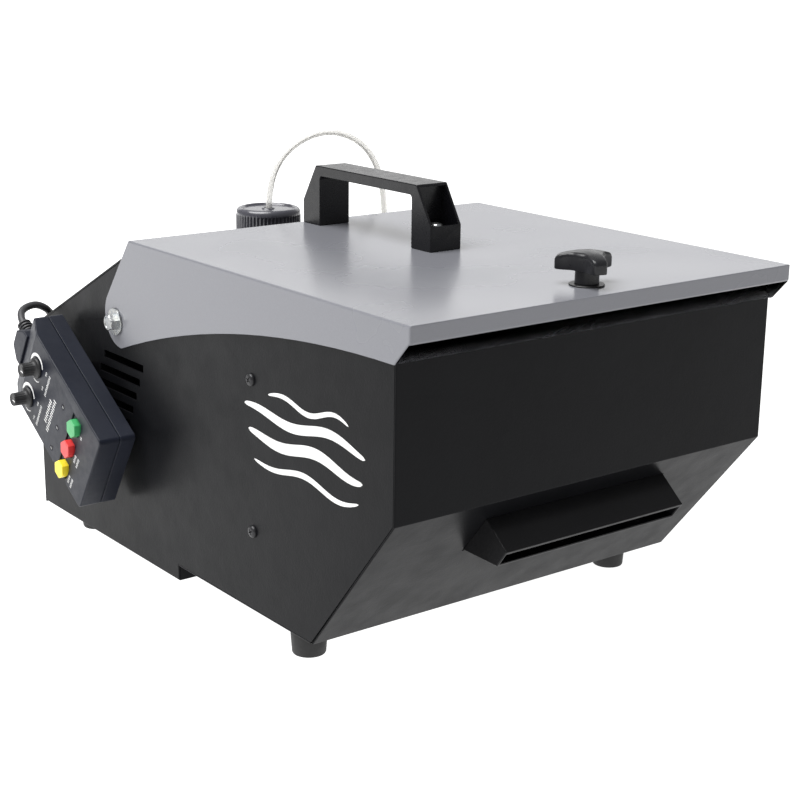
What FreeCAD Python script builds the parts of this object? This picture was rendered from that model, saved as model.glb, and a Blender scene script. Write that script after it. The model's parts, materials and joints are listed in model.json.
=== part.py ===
import FreeCAD, Part
import math
import os
import re
import Sketcher

# Fog machine with an ice chamber, a remote control and a fluid tank, in millimetres.
# The body frame used below has x = 0 on the body's middle plane, y = 0 at the lid's front face
# and z = 0 on the floor. The cells origin_x and origin_y move every sub-part from there to the
# middle of the object's own footprint, so the finished part stands on its origin.
# The front faces -Y, and the remote control hangs on the left side, -X.

DIMENSIONS = {
    # casing
    "body_half": 146.0, "sheet": 1.2, "rim_z": 226.5, "front_y": 13.6, "knee_z": 117.0,
    "chin_y": 91.4, "chin_z": 21.0, "step_y": 247.0, "pan_z": 10.0, "rear_y": 445.5,
    "rear_z": 148.0, "deck_rear_y": 290.8, "deck_front_y": 261.0, "front_flange": 26.0,
    # lid
    "lid_half": 147.8, "lid_top": 230.0, "lid_rear": 298.0, "lip_z": 220.5, "ear_tip_y": 12.6,
    "ear_tip_z": 206.7, "ear_edge_radius": 896.0, "ear_low_y": 312.8, "ear_low_z": 155.0,
    "ear_rear_y": 329.7, "ear_rear_z": 188.8, "ear_radius": 21.0, "hinge_y": 318.9,
    "hinge_z": 172.4, "gasket_height": 2.0, "gasket_width": 8.0, "gasket_x": 141.0,
    "gasket_front": 18.0, "gasket_rear": 274.0,
    # hinge bolts
    "bolt_radius": 3.0, "bolt_fit": 0.05, "washer_radius": 9.2, "washer_gap": 0.1,
    "washer_thick": 1.3, "bolt_head": 5.0, "bolt_flats": 5.0, "hinge_nut": 4.8,
    # carry handle
    "handle_half": 12.4, "handle_front": 154.0, "handle_rear": 296.0, "handle_height": 41.0,
    "handle_end": 16.0, "handle_slope": 15.0, "handle_foot": 20.2, "handle_bar": 7.0,
    "handle_wall": 1.7, "handle_corner": 2.5, "pocket_floor": 13.5, "handle_screw_radius": 2.5,
    "handle_screw_head": 4.4, "handle_screw_head_height": 3.2,
    # lid knob
    "knob_y": 25.5, "knob_radius": 19.2, "knob_lobe": 4.9, "knob_lobe_corner": 2.0,
    "knob_middle": 9.5, "knob_height": 11.0, "hub_radius": 7.2, "hub_height": 8.0,
    "knob_stud": 3.0, "knob_washer": 10.4, "knob_washer_thick": 0.8,
    "knob_first_turn": 130.0,
    "knob_gap": 0.1, "insert_radius": 5.0, "insert_length": 10.0, "insert_flange": 7.0,
    # feet and screws
    "foot_x": 126.5, "foot_front_y": 123.3, "foot_rear_y": 400.0, "foot_top": 12.0,
    "foot_bottom": 10.5, "foot_screw": 2.0, "foot_recess": 5.0, "foot_recess_depth": 9.0,
    "panel_screw": 2.0, "panel_screw_head": 3.9, "panel_screw_height": 2.2,
    "panel_screw_length": 8.0, "side_screw_y": 154.5, "side_screw_high": 168.0,
    "side_screw_low": 72.7, "slope_screw_y": 344.0,
    # vents in each side panel
    "slot_height": 5.2, "slot_pitch": 10.55, "slot_first_z": 146.0, "slot_front_y": 286.7,
    "slot_rear_y": 341.3, "slot_stagger": 5.2, "slot_rear_stagger": 6.5,
    # fog outlet on the chin
    "duct_half": 71.6, "duct_wall": 1.6, "duct_top_root_y": 24.0, "duct_top_root_z": 103.4,
    "duct_low_root_y": 42.3, "duct_low_root_z": 80.2, "duct_top_tip_y": 6.9,
    "duct_top_tip_z": 88.0, "duct_low_tip_y": 14.8, "duct_low_tip_z": 77.2,
    # ice chamber
    "tub_half": 139.0, "tub_wall": 1.0, "tub_front": 17.6, "tub_knee": 119.0,
    "tub_chin_y": 94.0, "tub_floor": 25.0, "tub_rear": 259.0, "tub_top": 225.2,
    "rack_z": 52.0, "rack_bar": 1.5, "rack_front": 80.0, "rack_rear": 252.0,
    "rack_half": 134.0, "drain_y": 200.0, "drain_radius": 6.0, "drain_head": 9.0,
    "drain_head_height": 6.0,
    # fluid tank
    "tank_x": 39.0, "tank_y": 420.0, "tank_half": 42.0, "tank_front": 366.0, "tank_rear": 441.0,
    "tank_top": 146.5, "tank_wall": 1.5, "tank_corner": 10.0, "neck_radius": 20.0,
    "neck_bore": 17.0, "neck_top": 215.0, "cap_radius": 25.0, "cap_bottom": 190.0,
    "cap_top": 220.0, "cap_wall": 2.5, "cap_fit": 0.4, "cap_groove": 0.7, "cap_edge": 3.0,
    # fluid tube
    "tube_radius": 2.4, "tube_fit": 0.3, "tube_x": 128.8, "tube_y": 389.0, "grommet_radius": 7.0,
    # fog generator
    "heater_x": -95.0, "heater_length": 130.0, "heater_y": 290.0, "heater_width": 56.0,
    "heater_z": 44.0, "heater_height": 48.0, "cover_gap": 9.0, "cover_thick": 0.8, "post_radius": 4.0,
    "pipe_x": -60.0, "pipe_z": 70.0, "pipe_radius": 7.0, "pipe_bore": 5.5, "pipe_front": 236.0,
    "pump_x": 96.0, "pump_y": 318.0, "pump_z": 42.0, "pump_radius": 20.0, "pump_length": 56.0,
    # electrics
    "board_x": -141.0, "board_y": 372.0, "board_length": 82.0, "board_width": 50.0,
    "board_z": 26.0, "core_x": -13.0, "core_y": 362.0,
    "inlet_x": 112.0, "inlet_z": 44.0, "inlet_half": 14.0, "inlet_height": 24.0,
    "switch_z": 88.0, "switch_half": 11.0, "switch_height": 28.0, "rocker_half": 8.0,
    "rocker_height": 20.0, "rocker_depth": 7.0, "rocker_lean": 10.0, "fuse_z": 124.0,
    "fuse_radius": 6.0, "fuse_cap_radius": 7.5, "fuse_cap_gap": 2.3, "fuse_cap_depth": 7.0,
    "rocker_pivot": 1.6, "rocker_pivot_end": 0.25,
    "core_height": 36.0, "core_depth": 36.0, "core_width": 42.0, "winding_width": 26.0,
    "socket_x": -96.0, "socket_z": 66.0, "socket_radius": 9.5, "plug_radius": 7.5,
    "plug_length": 30.0,
    # remote control, in its own frame: x along it, y across it, z away from the side panel
    "remote_gap": 7.0, "remote_y": 355.0, "remote_z": 106.3, "remote_tilt": 32.0,
    "remote_length": 122.0, "remote_width": 65.0, "remote_back": 11.0, "remote_depth": 26.5,
    "remote_wall": 2.0, "remote_corner": 3.0, "remote_slant": 17.0, "remote_slant_height": 6.0,
    "nose_length": 14.0, "nose_half": 14.0, "nose_tip_half": 6.6,
    "nose_square": 5.0, "nose_top": 23.0, "nose_low": 2.0, "gland_length": 11.0,
    "gland_base": 5.6, "gland_tip": 4.6,
    "knob_one_x": 32.5, "knob_one_y": -11.0, "knob_two_x": 33.0, "knob_two_y": 18.0,
    "dial_gap": 0.3, "dial_radius": 4.8, "dial_height": 12.0, "dial_collar": 7.4,
    "dial_collar_height": 2.0, "dial_shaft": 3.0,
    "button_x": -30.0, "button_first_y": -15.0, "button_pitch": 20.0, "button_radius": 6.6,
    "button_height": 7.6, "lamp_x": -10.0, "lamp_radius": 1.5,
    "remote_screw": 1.3, "remote_screw_head": 2.6, "remote_screw_x": 50.0, "remote_screw_y": 25.0,
    "recess_width": 14.0, "recess_depth": 1.2, "recess_end": 8.0,
    "holder_half_long": 22.0, "holder_half_wide": 20.0, "holder_rib": 3.0,
    # remote cable
    "cable_radius": 2.7, "coil_x": -50.0, "coil_y": 500.0, "coil_inner": 17.5,
    "coil_outer": 35.0, "coil_height": 22.0,
}

doc = FreeCAD.newDocument("fog_machine")
sheet = doc.addObject("Spreadsheet::Sheet", "dims")
sheet.Label = "dims"
for row, (word, size) in enumerate(DIMENSIONS.items(), start=1):
    sheet.set(f"A{row}", word)
    sheet.set(f"B{row}", str(size))
    sheet.setAlias(f"B{row}", word)
# The widest points of the object set its footprint and so its origin.
row = len(DIMENSIONS) + 1
for word, formula in {
    "origin_x": "(lid_half + washer_gap + washer_thick + bolt_head - body_half - remote_gap - remote_depth"
                " - dial_gap - dial_height) / 2",
    "origin_y": "(rear_y + fuse_cap_gap + fuse_cap_depth) / 2",
    "slope_angle": "atan((rim_z - rear_z) / (rear_y - deck_rear_y)) / 1deg",
}.items():
    sheet.set(f"A{row}", word)
    sheet.set(f"B{row}", "=" + formula)
    sheet.setAlias(f"B{row}", word)
    row += 1
doc.recompute()
WORDS = set(DIMENSIONS) | {"origin_x", "origin_y", "slope_angle"}


def linked(formula):
    """Give a formula of cell names as an expression that reads them from the sheet."""
    return re.sub(r"[a-z_]+[a-z_0-9]*",
                  lambda found: "dims." + found[0] if found[0] in WORDS else found[0], str(formula))


def number(formula):
    """Give a formula's present value."""
    return float(sheet.evalExpression(linked(formula)))


def bind(item, name, formula):
    item.setExpression(name, linked(formula))


def place(item, x, y, z):
    for axis, formula in zip("xyz", (x, y, z)):
        bind(item, "Placement.Base." + axis, formula)


def block(x, y, z, length, width, height):
    """A box whose lowest corner is at x, y, z."""
    item = doc.addObject("Part::Box", "block")
    bind(item, "Length", length)
    bind(item, "Width", width)
    bind(item, "Height", height)
    place(item, x, y, z)
    return item


TURNS = {
    "z": FreeCAD.Rotation(),
    "y": FreeCAD.Rotation(FreeCAD.Vector(1, 0, 0), -90),
    "x": FreeCAD.Rotation(FreeCAD.Vector(0, 1, 0), 90),
}


def rod(x, y, z, radius, height, along="z"):
    """A cylinder that starts at x, y, z and runs the given height along an axis."""
    item = doc.addObject("Part::Cylinder", "rod")
    bind(item, "Radius", radius)
    bind(item, "Height", height)
    item.Placement = FreeCAD.Placement(FreeCAD.Vector(), TURNS[along])
    place(item, x, y, z)
    return item


def taper(x, y, z, start, end, height, along="z"):
    """A cone that starts at x, y, z with one radius and ends with another."""
    item = doc.addObject("Part::Cone", "taper")
    bind(item, "Radius1", start)
    bind(item, "Radius2", end)
    bind(item, "Height", height)
    item.Placement = FreeCAD.Placement(FreeCAD.Vector(), TURNS[along])
    place(item, x, y, z)
    return item


def hexagon(x, y, z, radius, height, along="z"):
    """A six-sided prism that starts at x, y, z; the radius reaches its corners."""
    item = doc.addObject("Part::Prism", "hexagon")
    item.Polygon = 6
    bind(item, "Circumradius", radius)
    bind(item, "Height", height)
    item.Placement = FreeCAD.Placement(FreeCAD.Vector(), TURNS[along])
    place(item, x, y, z)
    return item


PLANES = {
    "yz": ("YZ_Plane", "x"),
    "xy": ("XY_Plane", "z"),
    "xz": ("XZ_Plane", "y"),
}


def prism(plane, corners, start, depth):
    """A closed outline padded along the plane's normal from start through depth.

    The planes' normals are +x, +z and -y.

    Each corner is a pair of formulas. A radius and a side after them make the edge that arrives
    at the corner an arc, which bulges to that side of its direction of travel: 1 left, -1 right.
    """
    role, normal = PLANES[plane]
    body = doc.addObject("PartDesign::Body", "prism")
    origin_plane = next(item for item in body.Origin.OriginFeatures if item.Role == role)
    sketch = body.newObject("Sketcher::SketchObject", "outline")
    sketch.AttachmentSupport = [(origin_plane, "")]
    sketch.MapMode = "FlatFace"
    points = [FreeCAD.Vector(number(corner[0]), number(corner[1]), 0) for corner in corners]
    arrivals = []
    departures = []
    for before, after, corner in zip([points[-1]] + points, points, corners):
        arrival, departure = 2, 1
        if len(corner) > 2:
            radius, side = number(corner[2]), corner[3]
            half = (after - before) / 2
            outward = FreeCAD.Vector(-half.y, half.x, 0).normalize() * side
            centre = before + half - outward * math.sqrt(radius ** 2 - half.Length ** 2)
            ends = [after, before] if side > 0 else [before, after]
            first, last = [math.atan2(end.y - centre.y, end.x - centre.x) for end in ends]
            circle = Part.Circle(centre, FreeCAD.Vector(0, 0, 1), radius)
            sketch.addGeometry(Part.ArcOfCircle(circle, first, last))
            if side > 0:
                arrival, departure = 1, 2
        else:
            sketch.addGeometry(Part.LineSegment(before, after))
        arrivals.append(arrival)
        departures.append(departure)
    for index, corner in enumerate(corners):
        following = (index + 1) % len(corners)
        sketch.addConstraint(Sketcher.Constraint(
            "Coincident", index, arrivals[index], following, departures[following]))
        for kind, formula in zip(("DistanceX", "DistanceY"), corner):
            constraint = Sketcher.Constraint(kind, -1, 1, index, arrivals[index], number(formula))
            key = sketch.addConstraint(constraint)
            sketch.setExpression(f"Constraints[{key}]", linked(formula))
        if len(corner) > 2:
            key = sketch.addConstraint(Sketcher.Constraint("Radius", index, number(corner[2])))
            sketch.setExpression(f"Constraints[{key}]", linked(corner[2]))
    pad = body.newObject("PartDesign::Pad", "pad")
    pad.Profile = sketch
    bind(pad, "Length", depth)
    bind(body, "Placement.Base." + normal, start)
    return body


def join(*items):
    item = doc.addObject("Part::MultiFuse", "join")
    item.Shapes = list(items)
    return item


def cut(base, *tools):
    item = doc.addObject("Part::Cut", "cut")
    item.Base = base
    item.Tool = tools[0] if len(tools) == 1 else join(*tools)
    return item


def rounded(item, radius, wanted):
    """Round the edges of item that the test picks."""
    doc.recompute()
    fillet = doc.addObject("Part::Fillet", "rounded")
    fillet.Base = item
    size = number(radius)
    fillet.Edges = [(index, size, size) for index, edge in enumerate(item.Shape.Edges, start=1)
                    if wanted(edge)]
    return fillet


def upright(edge):
    """True for a straight edge along the local z axis."""
    if not isinstance(edge.Curve, Part.Line):
        return False
    return abs(edge.Curve.Direction.z) > 0.99


sub_parts = []


def sub_part(label, *items, frame="casing"):
    """Collect the solids of one sub-part under its own label and placement."""
    item = doc.addObject("Part::Compound", label)
    item.Label = label
    item.Links = list(items)
    if frame == "remote":
        tilt = math.radians(number("remote_tilt"))
        along = FreeCAD.Vector(0, math.cos(tilt), math.sin(tilt))
        outward = FreeCAD.Vector(-1, 0, 0)
        turn = FreeCAD.Rotation(along, outward.cross(along), outward, "ZXY")
        item.Placement = FreeCAD.Placement(FreeCAD.Vector(), turn)
        place(item, "-body_half - remote_gap - origin_x", "remote_y - origin_y", "remote_z")
    else:
        place(item, "-origin_x", "-origin_y", "0")
    sub_parts.append(item)
    return item


def mirrored(maker):
    """Call a maker for the left side and for the right side, with sign -1 and 1."""
    return [maker(side) for side in (-1, 1)]


# ---------------------------------------------------------------- casing

def slope_height(y):
    """Formula of the rear slope's outer height at a formula y."""
    return f"(rear_z + (rim_z - rear_z) * (rear_y - ({y})) / (rear_y - deck_rear_y))"


def on_slope(shape, x, y, lift, *sizes):
    """A shape that stands square on the rear slope at a place, raised by lift along its normal."""
    item = shape("0", "0", "0", *sizes)
    item.Placement.Rotation = FreeCAD.Rotation(FreeCAD.Vector(1, 0, 0), -number("slope_angle"))
    place(item, x, f"{y} + ({lift}) * sin(slope_angle)",
          f"{slope_height(y)} + ({lift}) * cos(slope_angle)")
    return item


def side_panel(side):
    inset = "sheet"
    corners = [
        (f"front_y + {inset}", "rim_z"),
        (f"front_y + {inset}", "knee_z"),
        (f"chin_y + {inset}", f"chin_z + {inset}"),
        ("step_y", f"chin_z + {inset}"),
        ("step_y", f"pan_z + {inset}"),
        (f"rear_y - {inset}", f"pan_z + {inset}"),
        (f"rear_y - {inset}", f"rear_z - {inset}"),
        (f"deck_rear_y - {inset}", f"rim_z - {inset}"),
        ("deck_front_y", f"rim_z - {inset}"),
        ("deck_front_y", "rim_z"),
    ]
    start = "-body_half" if side < 0 else "body_half - sheet"
    plate = prism("yz", corners, start, "sheet")
    holes = []
    for step in range(6):
        low = f"slot_first_z - {step} * slot_pitch - slot_height / 2"
        front = f"slot_front_y + {step} * slot_stagger"
        rear = f"slot_rear_y + {step} * slot_rear_stagger"
        holes.append(block(f"{start} - 1", front, low, "sheet + 2", f"{rear} - ({front})", "slot_height"))
    for height in ("side_screw_high", "side_screw_low"):
        holes.append(rod(f"{start} - 1", "side_screw_y", height, "panel_screw + bolt_fit", "sheet + 2", "x"))
    holes.append(rod(f"{start} - 1", "hinge_y", "hinge_z", "bolt_radius + bolt_fit", "sheet + 2", "x"))
    return cut(plate, *holes)


sub_part("left_side_panel", side_panel(-1))
sub_part("right_side_panel", side_panel(1))

# The front panel is one bent sheet: a top flange, the upright front and the sloping chin.
front_bend = prism("yz", [
    ("front_y", "rim_z"), ("front_y", "knee_z - sheet / 3"), ("chin_y", "chin_z"),
    ("chin_y + sheet * 1.6", "chin_z"), ("front_y + sheet", "knee_z"),
    ("front_y + sheet", "rim_z - sheet"), ("front_y + front_flange", "rim_z - sheet"),
    ("front_y + front_flange", "rim_z"),
], "-body_half", "2 * body_half")
flange_trim = mirrored(lambda side: block(
    "-body_half - 1" if side < 0 else "tub_half + 1", "front_y + sheet", "rim_z - sheet - 1",
    "body_half - tub_half", "front_flange + 1", "sheet + 2"))


def duct_outline(grow):
    """The outlet's side outline, from inside the chin out to its lips, grown by a formula."""
    return [
        (f"duct_top_root_y + 6 + ({grow}) * 0.5", f"duct_top_root_z + 4 + ({grow}) * 1.5"),
        (f"duct_top_tip_y - ({grow})", f"duct_top_tip_z + ({grow}) * 0.4"),
        (f"duct_low_tip_y - ({grow}) * 0.3", f"duct_low_tip_z - ({grow})"),
        (f"duct_low_root_y + 4 + ({grow}) * 3", f"duct_low_root_z - 2 - ({grow})"),
    ]


duct_hole = prism("yz", duct_outline("0.6"), "-duct_half - 0.3", "2 * duct_half + 0.6")
insert_hole = rod("0", "knob_y", "rim_z - 5", "insert_radius + bolt_fit", "10")
sub_part("front_panel", cut(front_bend, duct_hole, insert_hole, *flange_trim))

duct_outer = prism("yz", duct_outline("0"), "-duct_half", "2 * duct_half")
duct_inner = prism("yz", [
    ("duct_top_root_y + 16", "duct_top_root_z + 9 - duct_wall * 1.4"),
    ("duct_top_tip_y - 9", "duct_top_tip_z - 8.1 - duct_wall * 1.4"),
    ("duct_low_tip_y - 14", "duct_low_tip_z + duct_wall - 3.4"),
    ("duct_low_tip_y", "duct_low_tip_z + duct_wall"),
    ("duct_low_root_y + 14", "duct_low_root_z + duct_wall + 2"),
], "-duct_half + duct_wall", "2 * (duct_half - duct_wall)")
sub_part("outlet_duct", cut(duct_outer, duct_inner))

floor_holes = [rod(f"{side} * foot_x", "foot_front_y", "chin_z - 1", "foot_screw + bolt_fit", "sheet + 2")
               for side in (-1, 1)]
drain_hole = rod("0", "drain_y", "chin_z - 1", "drain_head + 1", "sheet + 2")
sub_part("front_floor", cut(
    block("-body_half", "chin_y + sheet * 1.6 + 0.1", "chin_z", "2 * body_half",
          "step_y - chin_y - sheet * 1.6 - 0.2", "sheet"),
    drain_hole, *floor_holes))

base_bend = prism("yz", [
    ("step_y", "chin_z + sheet"), ("step_y", "pan_z"), ("rear_y - sheet - 0.1", "pan_z"),
    ("rear_y - sheet - 0.1", "pan_z + sheet"), ("step_y + sheet", "pan_z + sheet"),
    ("step_y + sheet", "chin_z + sheet"),
], "-body_half + sheet + 0.1", "2 * (body_half - sheet - 0.1)")
pan_holes = [rod(f"{side} * foot_x", "foot_rear_y", "pan_z - 1", "foot_screw + bolt_fit", "sheet + 2")
             for side in (-1, 1)]
sub_part("base_pan", cut(base_bend, *pan_holes))

rear_plate = block("-body_half", "rear_y - sheet", "pan_z", "2 * body_half", "sheet",
                   "rear_z - pan_z - sheet")
rear_holes = [
    block("inlet_x - inlet_half + 2", "rear_y - 3", "inlet_z - inlet_height / 2 + 2",
          "2 * inlet_half - 4", "6", "inlet_height - 4"),
    block("inlet_x - switch_half + 1.5", "rear_y - 3", "switch_z - switch_height / 2 + 1.5",
          "2 * switch_half - 3", "6", "switch_height - 3"),
    rod("inlet_x", "rear_y - 3", "fuse_z", "fuse_radius + bolt_fit", "6", "y"),
    rod("socket_x", "rear_y - 3", "socket_z", "socket_radius - 1.5", "6", "y"),
]
for step in range(7):
    rear_holes.append(block("-50", "rear_y - 3", f"40 + {step} * slot_pitch", "60", "6", "slot_height"))
sub_part("rear_panel", cut(rear_plate, *rear_holes))

# The rear cover is one bent sheet: the slope and the deck behind the ice chamber.
cover_bend = prism("yz", [
    ("rear_y", "rear_z - sheet"), ("rear_y", "rear_z"), ("deck_rear_y", "rim_z"),
    ("deck_front_y + 0.1", "rim_z"), ("deck_front_y + 0.1", "rim_z - sheet"),
    ("deck_rear_y - sheet * 0.3", "rim_z - sheet"), ("rear_y - sheet * 0.8", "rear_z - sheet"),
], "-body_half", "2 * body_half")
cover_screw_places = [(f"{side} * (body_half - 7)", y) for side in (-1, 1)
                      for y in ("slope_screw_y", "slope_screw_y + 76")]
neck_hole = rod("tank_x", "tank_y", "rear_z - 10", "neck_radius + 1", "60")
tube_hole = on_slope(rod, "tube_x", "tube_y", "-8", "grommet_radius - 2", "16")
cover_screw_holes = [on_slope(rod, x, y, "-4", "panel_screw + bolt_fit", "8")
                     for x, y in cover_screw_places]
sub_part("rear_cover", cut(cover_bend, neck_hole, tube_hole, *cover_screw_holes))

# ---------------------------------------------------------------- feet and panel screws

def foot(x, y, top, recess):
    pad = taper(x, y, "0", "foot_bottom", "foot_top", top)
    hollow = rod(x, y, "-1", "foot_recess", f"{recess} + 1")
    return cut(pad, hollow, rod(x, y, "0", "foot_screw + bolt_fit", top))


def foot_screw(x, y, top, recess):
    head = rod(x, y, f"{recess} - 2.4", "panel_screw_head", "2.4")
    return join(head, rod(x, y, f"{recess} - 1", "foot_screw", f"{top} - ({recess}) + 4"))


foot_places = [(f"{side} * foot_x", y, top, recess) for side in (-1, 1)
               for y, top, recess in (("foot_front_y", "chin_z", "foot_recess_depth"),
                                      ("foot_rear_y", "pan_z", "foot_recess_depth / 2"))]
sub_part("feet", *[foot(*place_of_foot) for place_of_foot in foot_places])
foot_screws = [foot_screw(*place_of_foot) for place_of_foot in foot_places]


def side_screw(side, height):
    head_start = "-body_half - panel_screw_height" if side < 0 else "body_half"
    shank_start = "-body_half - 1" if side < 0 else "body_half + 1 - panel_screw_length"
    return join(rod(head_start, "side_screw_y", height, "panel_screw_head", "panel_screw_height", "x"),
                rod(shank_start, "side_screw_y", height, "panel_screw", "panel_screw_length", "x"))


side_screws = [side_screw(side, height) for side in (-1, 1)
               for height in ("side_screw_high", "side_screw_low")]
cover_screws = [join(
    on_slope(rod, x, y, "0.02", "panel_screw_head", "panel_screw_height"),
    on_slope(rod, x, y, "-panel_screw_length + 1", "panel_screw", "panel_screw_length"))
    for x, y in cover_screw_places]
inlet_screws = [rod(f"inlet_x + {side} * (inlet_half + 4.5)", "rear_y + 2.64", "inlet_z", "2.8", "1.2", "y")
                for side in (-1, 1)]
sub_part("panel_screws", *foot_screws, *side_screws, *cover_screws, *inlet_screws)

# ---------------------------------------------------------------- ice chamber

tub_outer = prism("yz", [
    ("tub_front", "tub_top"), ("tub_front", "tub_knee"), ("tub_chin_y", "tub_floor"),
    ("tub_rear", "tub_floor"), ("tub_rear", "tub_top"),
], "-tub_half", "2 * tub_half")
tub_inner = prism("yz", [
    ("tub_front + tub_wall", "tub_top + 1"), ("tub_front + tub_wall", "tub_knee + tub_wall / 3"),
    ("tub_chin_y + tub_wall / 3", "tub_floor + tub_wall"),
    ("tub_rear - tub_wall", "tub_floor + tub_wall"), ("tub_rear - tub_wall", "tub_top + 1"),
], "-tub_half + tub_wall", "2 * (tub_half - tub_wall)")
tub_holes = [
    prism("yz", duct_outline("0.6"), "-duct_half - 0.3", "2 * duct_half + 0.6"),
    block("-duct_half + 4", "tub_front + 4", "duct_low_root_z + 2", "2 * duct_half - 8", "50", "18"),
    rod("pipe_x", "tub_rear - 3", "pipe_z", "pipe_radius + bolt_fit", "6", "y"),
    rod("0", "drain_y", "tub_floor - 1", "drain_radius + bolt_fit", "tub_wall + 2"),
    rod("0", "knob_y", "tub_top - 18", "insert_flange + 1", "20"),
]
sub_part("ice_chamber", cut(tub_outer, tub_inner, *tub_holes))

rack_parts = []
for step in range(9):
    x = f"-rack_half + {step} * (rack_half / 4) - rack_bar"
    rack_parts.append(block(x, "rack_front", "rack_z", "2 * rack_bar", "rack_rear - rack_front",
                            "2 * rack_bar"))
for y in ("rack_front", "(rack_front + rack_rear) / 2", "rack_rear - 2 * rack_bar"):
    rack_parts.append(block("-rack_half - rack_bar", y, "rack_z", "2 * rack_half + 2 * rack_bar",
                            "2 * rack_bar", "2 * rack_bar"))
for side in (-1, 1):
    for y in ("rack_front + 24", "rack_rear - 10"):
        rack_parts.append(block(f"{side} * (rack_half - rack_half / 4) - rack_bar", y, "tub_floor + tub_wall",
                                "2 * rack_bar", "2 * rack_bar", "rack_z - tub_floor - tub_wall + 1"))
sub_part("ice_rack", join(*rack_parts))

drain_plate = join(rod("0", "drain_y", "tub_floor - 1.5", "drain_head - 0.5", "1.4"),
                   rod("0", "drain_y", "tub_floor - 1.5", "drain_radius", "tub_wall + 2.5"))
sub_part("drain_bush", cut(drain_plate, rod("0", "drain_y", "tub_floor - 5", "drain_radius - 1.5", "10")))
sub_part("drain_plug", join(
    rod("0", "drain_y", "tub_floor - 1.6 - drain_head_height", "drain_head - 1", "drain_head_height"),
    block("-drain_head + 2", "drain_y - 1.5", "tub_floor - 4 - drain_head_height",
          "2 * drain_head - 4", "3", "3"),
    rod("0", "drain_y", "tub_floor - 2", "drain_radius - 1.55", "4")))

# ---------------------------------------------------------------- lid

lid_outline = [
    ("0", "lid_top"), ("lid_rear", "lid_top"), ("ear_rear_y", "ear_rear_z"),
    ("ear_low_y", "ear_low_z", "ear_radius", 1), ("ear_tip_y", "ear_tip_z", "ear_edge_radius", -1),
    ("0", "lip_z"),
]
lid_block = prism("yz", lid_outline, "-lid_half", "2 * lid_half")
lid_room = block("-lid_half + sheet", "sheet", "ear_low_z - 30", "2 * (lid_half - sheet)", "400",
                 "lid_top - sheet - ear_low_z + 30")
lid_holes = [rod("-lid_half - 1", "hinge_y", "hinge_z", "bolt_radius + bolt_fit", "2 * lid_half + 2", "x"),
             rod("0", "knob_y", "lid_top - 5", "knob_stud + bolt_fit", "10")]
handle_screw_places = ("handle_front + handle_foot / 2", "handle_rear - handle_foot / 2")
for y in handle_screw_places:
    lid_holes.append(rod("0", y, "lid_top - 5", "handle_screw_radius + bolt_fit", "10"))
sub_part("lid", cut(lid_block, lid_room, *lid_holes))

gasket_low = "lid_top - sheet - gasket_height"
sub_part("lid_gasket", cut(
    block("-gasket_x", "gasket_front", gasket_low, "2 * gasket_x", "gasket_rear - gasket_front",
          "gasket_height"),
    block("-gasket_x + gasket_width", "gasket_front + 2 * gasket_width", gasket_low + " - 1",
          "2 * (gasket_x - gasket_width)", "gasket_rear - gasket_front - 3 * gasket_width",
          "gasket_height + 2"),
    rod("0", "knob_y", gasket_low + " - 1", "insert_flange + 2", "gasket_height + 2")))


def hinge_bolt(side):
    outer = "lid_half + washer_gap + washer_thick"
    inner = "body_half - sheet - hinge_nut - 1"
    shank = f"{outer} - ({inner}) + 1"
    shank_start, head_start = (f"-({outer}) - 1", f"-({outer}) - bolt_head") if side < 0 else (inner, outer)
    return join(
        rod(shank_start, "hinge_y", "hinge_z", "bolt_radius", shank, "x"),
        hexagon(head_start, "hinge_y", "hinge_z", "bolt_flats / cos(30)", "bolt_head", "x"))


def hinge_ring(start, radius, height, shape):
    """A washer or nut: the chosen shape with the bolt's clearance hole through it."""
    solid = shape(start, "hinge_y", "hinge_z", radius, height, "x")
    return cut(solid, rod(f"{start} - 1", "hinge_y", "hinge_z", "bolt_radius + bolt_fit",
                          f"{height} + 2", "x"))


sub_part("hinge_fasteners", *mirrored(hinge_bolt),
         hinge_ring("-lid_half - washer_gap - washer_thick", "washer_radius", "washer_thick", rod),
         hinge_ring("lid_half + washer_gap", "washer_radius", "washer_thick", rod),
         hinge_ring("-body_half + sheet", "bolt_flats / cos(30)", "hinge_nut", hexagon),
         hinge_ring("body_half - sheet - hinge_nut", "bolt_flats / cos(30)", "hinge_nut", hexagon))

# The handle is a bridge with an open pocket in each sloped end, where its screw goes down.
handle_top = "lid_top + handle_height"
handle_bar_low = f"{handle_top} - handle_bar"
handle_profile = [
    ("handle_front", "lid_top"), ("handle_front", "lid_top + handle_end"),
    ("handle_front + handle_slope", handle_top), ("handle_rear - handle_slope", handle_top),
    ("handle_rear", "lid_top + handle_end"), ("handle_rear", "lid_top"),
    ("handle_rear - handle_foot", "lid_top"), ("handle_rear - handle_foot", handle_bar_low),
    ("handle_front + handle_foot", handle_bar_low), ("handle_front + handle_foot", "lid_top"),
]
handle_solid = rounded(
    prism("yz", handle_profile, "-handle_half", "2 * handle_half"), "handle_corner",
    lambda edge: abs(edge.tangentAt(0).x) > 0.99
    and abs(edge.CenterOfMass.z - number(handle_bar_low)) < 0.01)


def handle_pocket(near, direction):
    """The pocket's outline in one end of the handle, open towards that end."""
    return prism("yz", [
        (f"{near} + ({direction}) * handle_wall", "lid_top + pocket_floor"),
        (f"{near} + ({direction}) * (handle_foot - handle_wall)", "lid_top + pocket_floor"),
        (f"{near} + ({direction}) * (handle_foot - handle_wall)", f"{handle_top} - handle_wall"),
        (f"{near} - ({direction}) * 4", f"{handle_top} - handle_wall"),
        (f"{near} - ({direction}) * 4", "lid_top + handle_end"),
        (f"{near} + ({direction}) * handle_wall", "lid_top + handle_end"),
    ], "-handle_half + handle_wall", "2 * (handle_half - handle_wall)")


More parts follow.
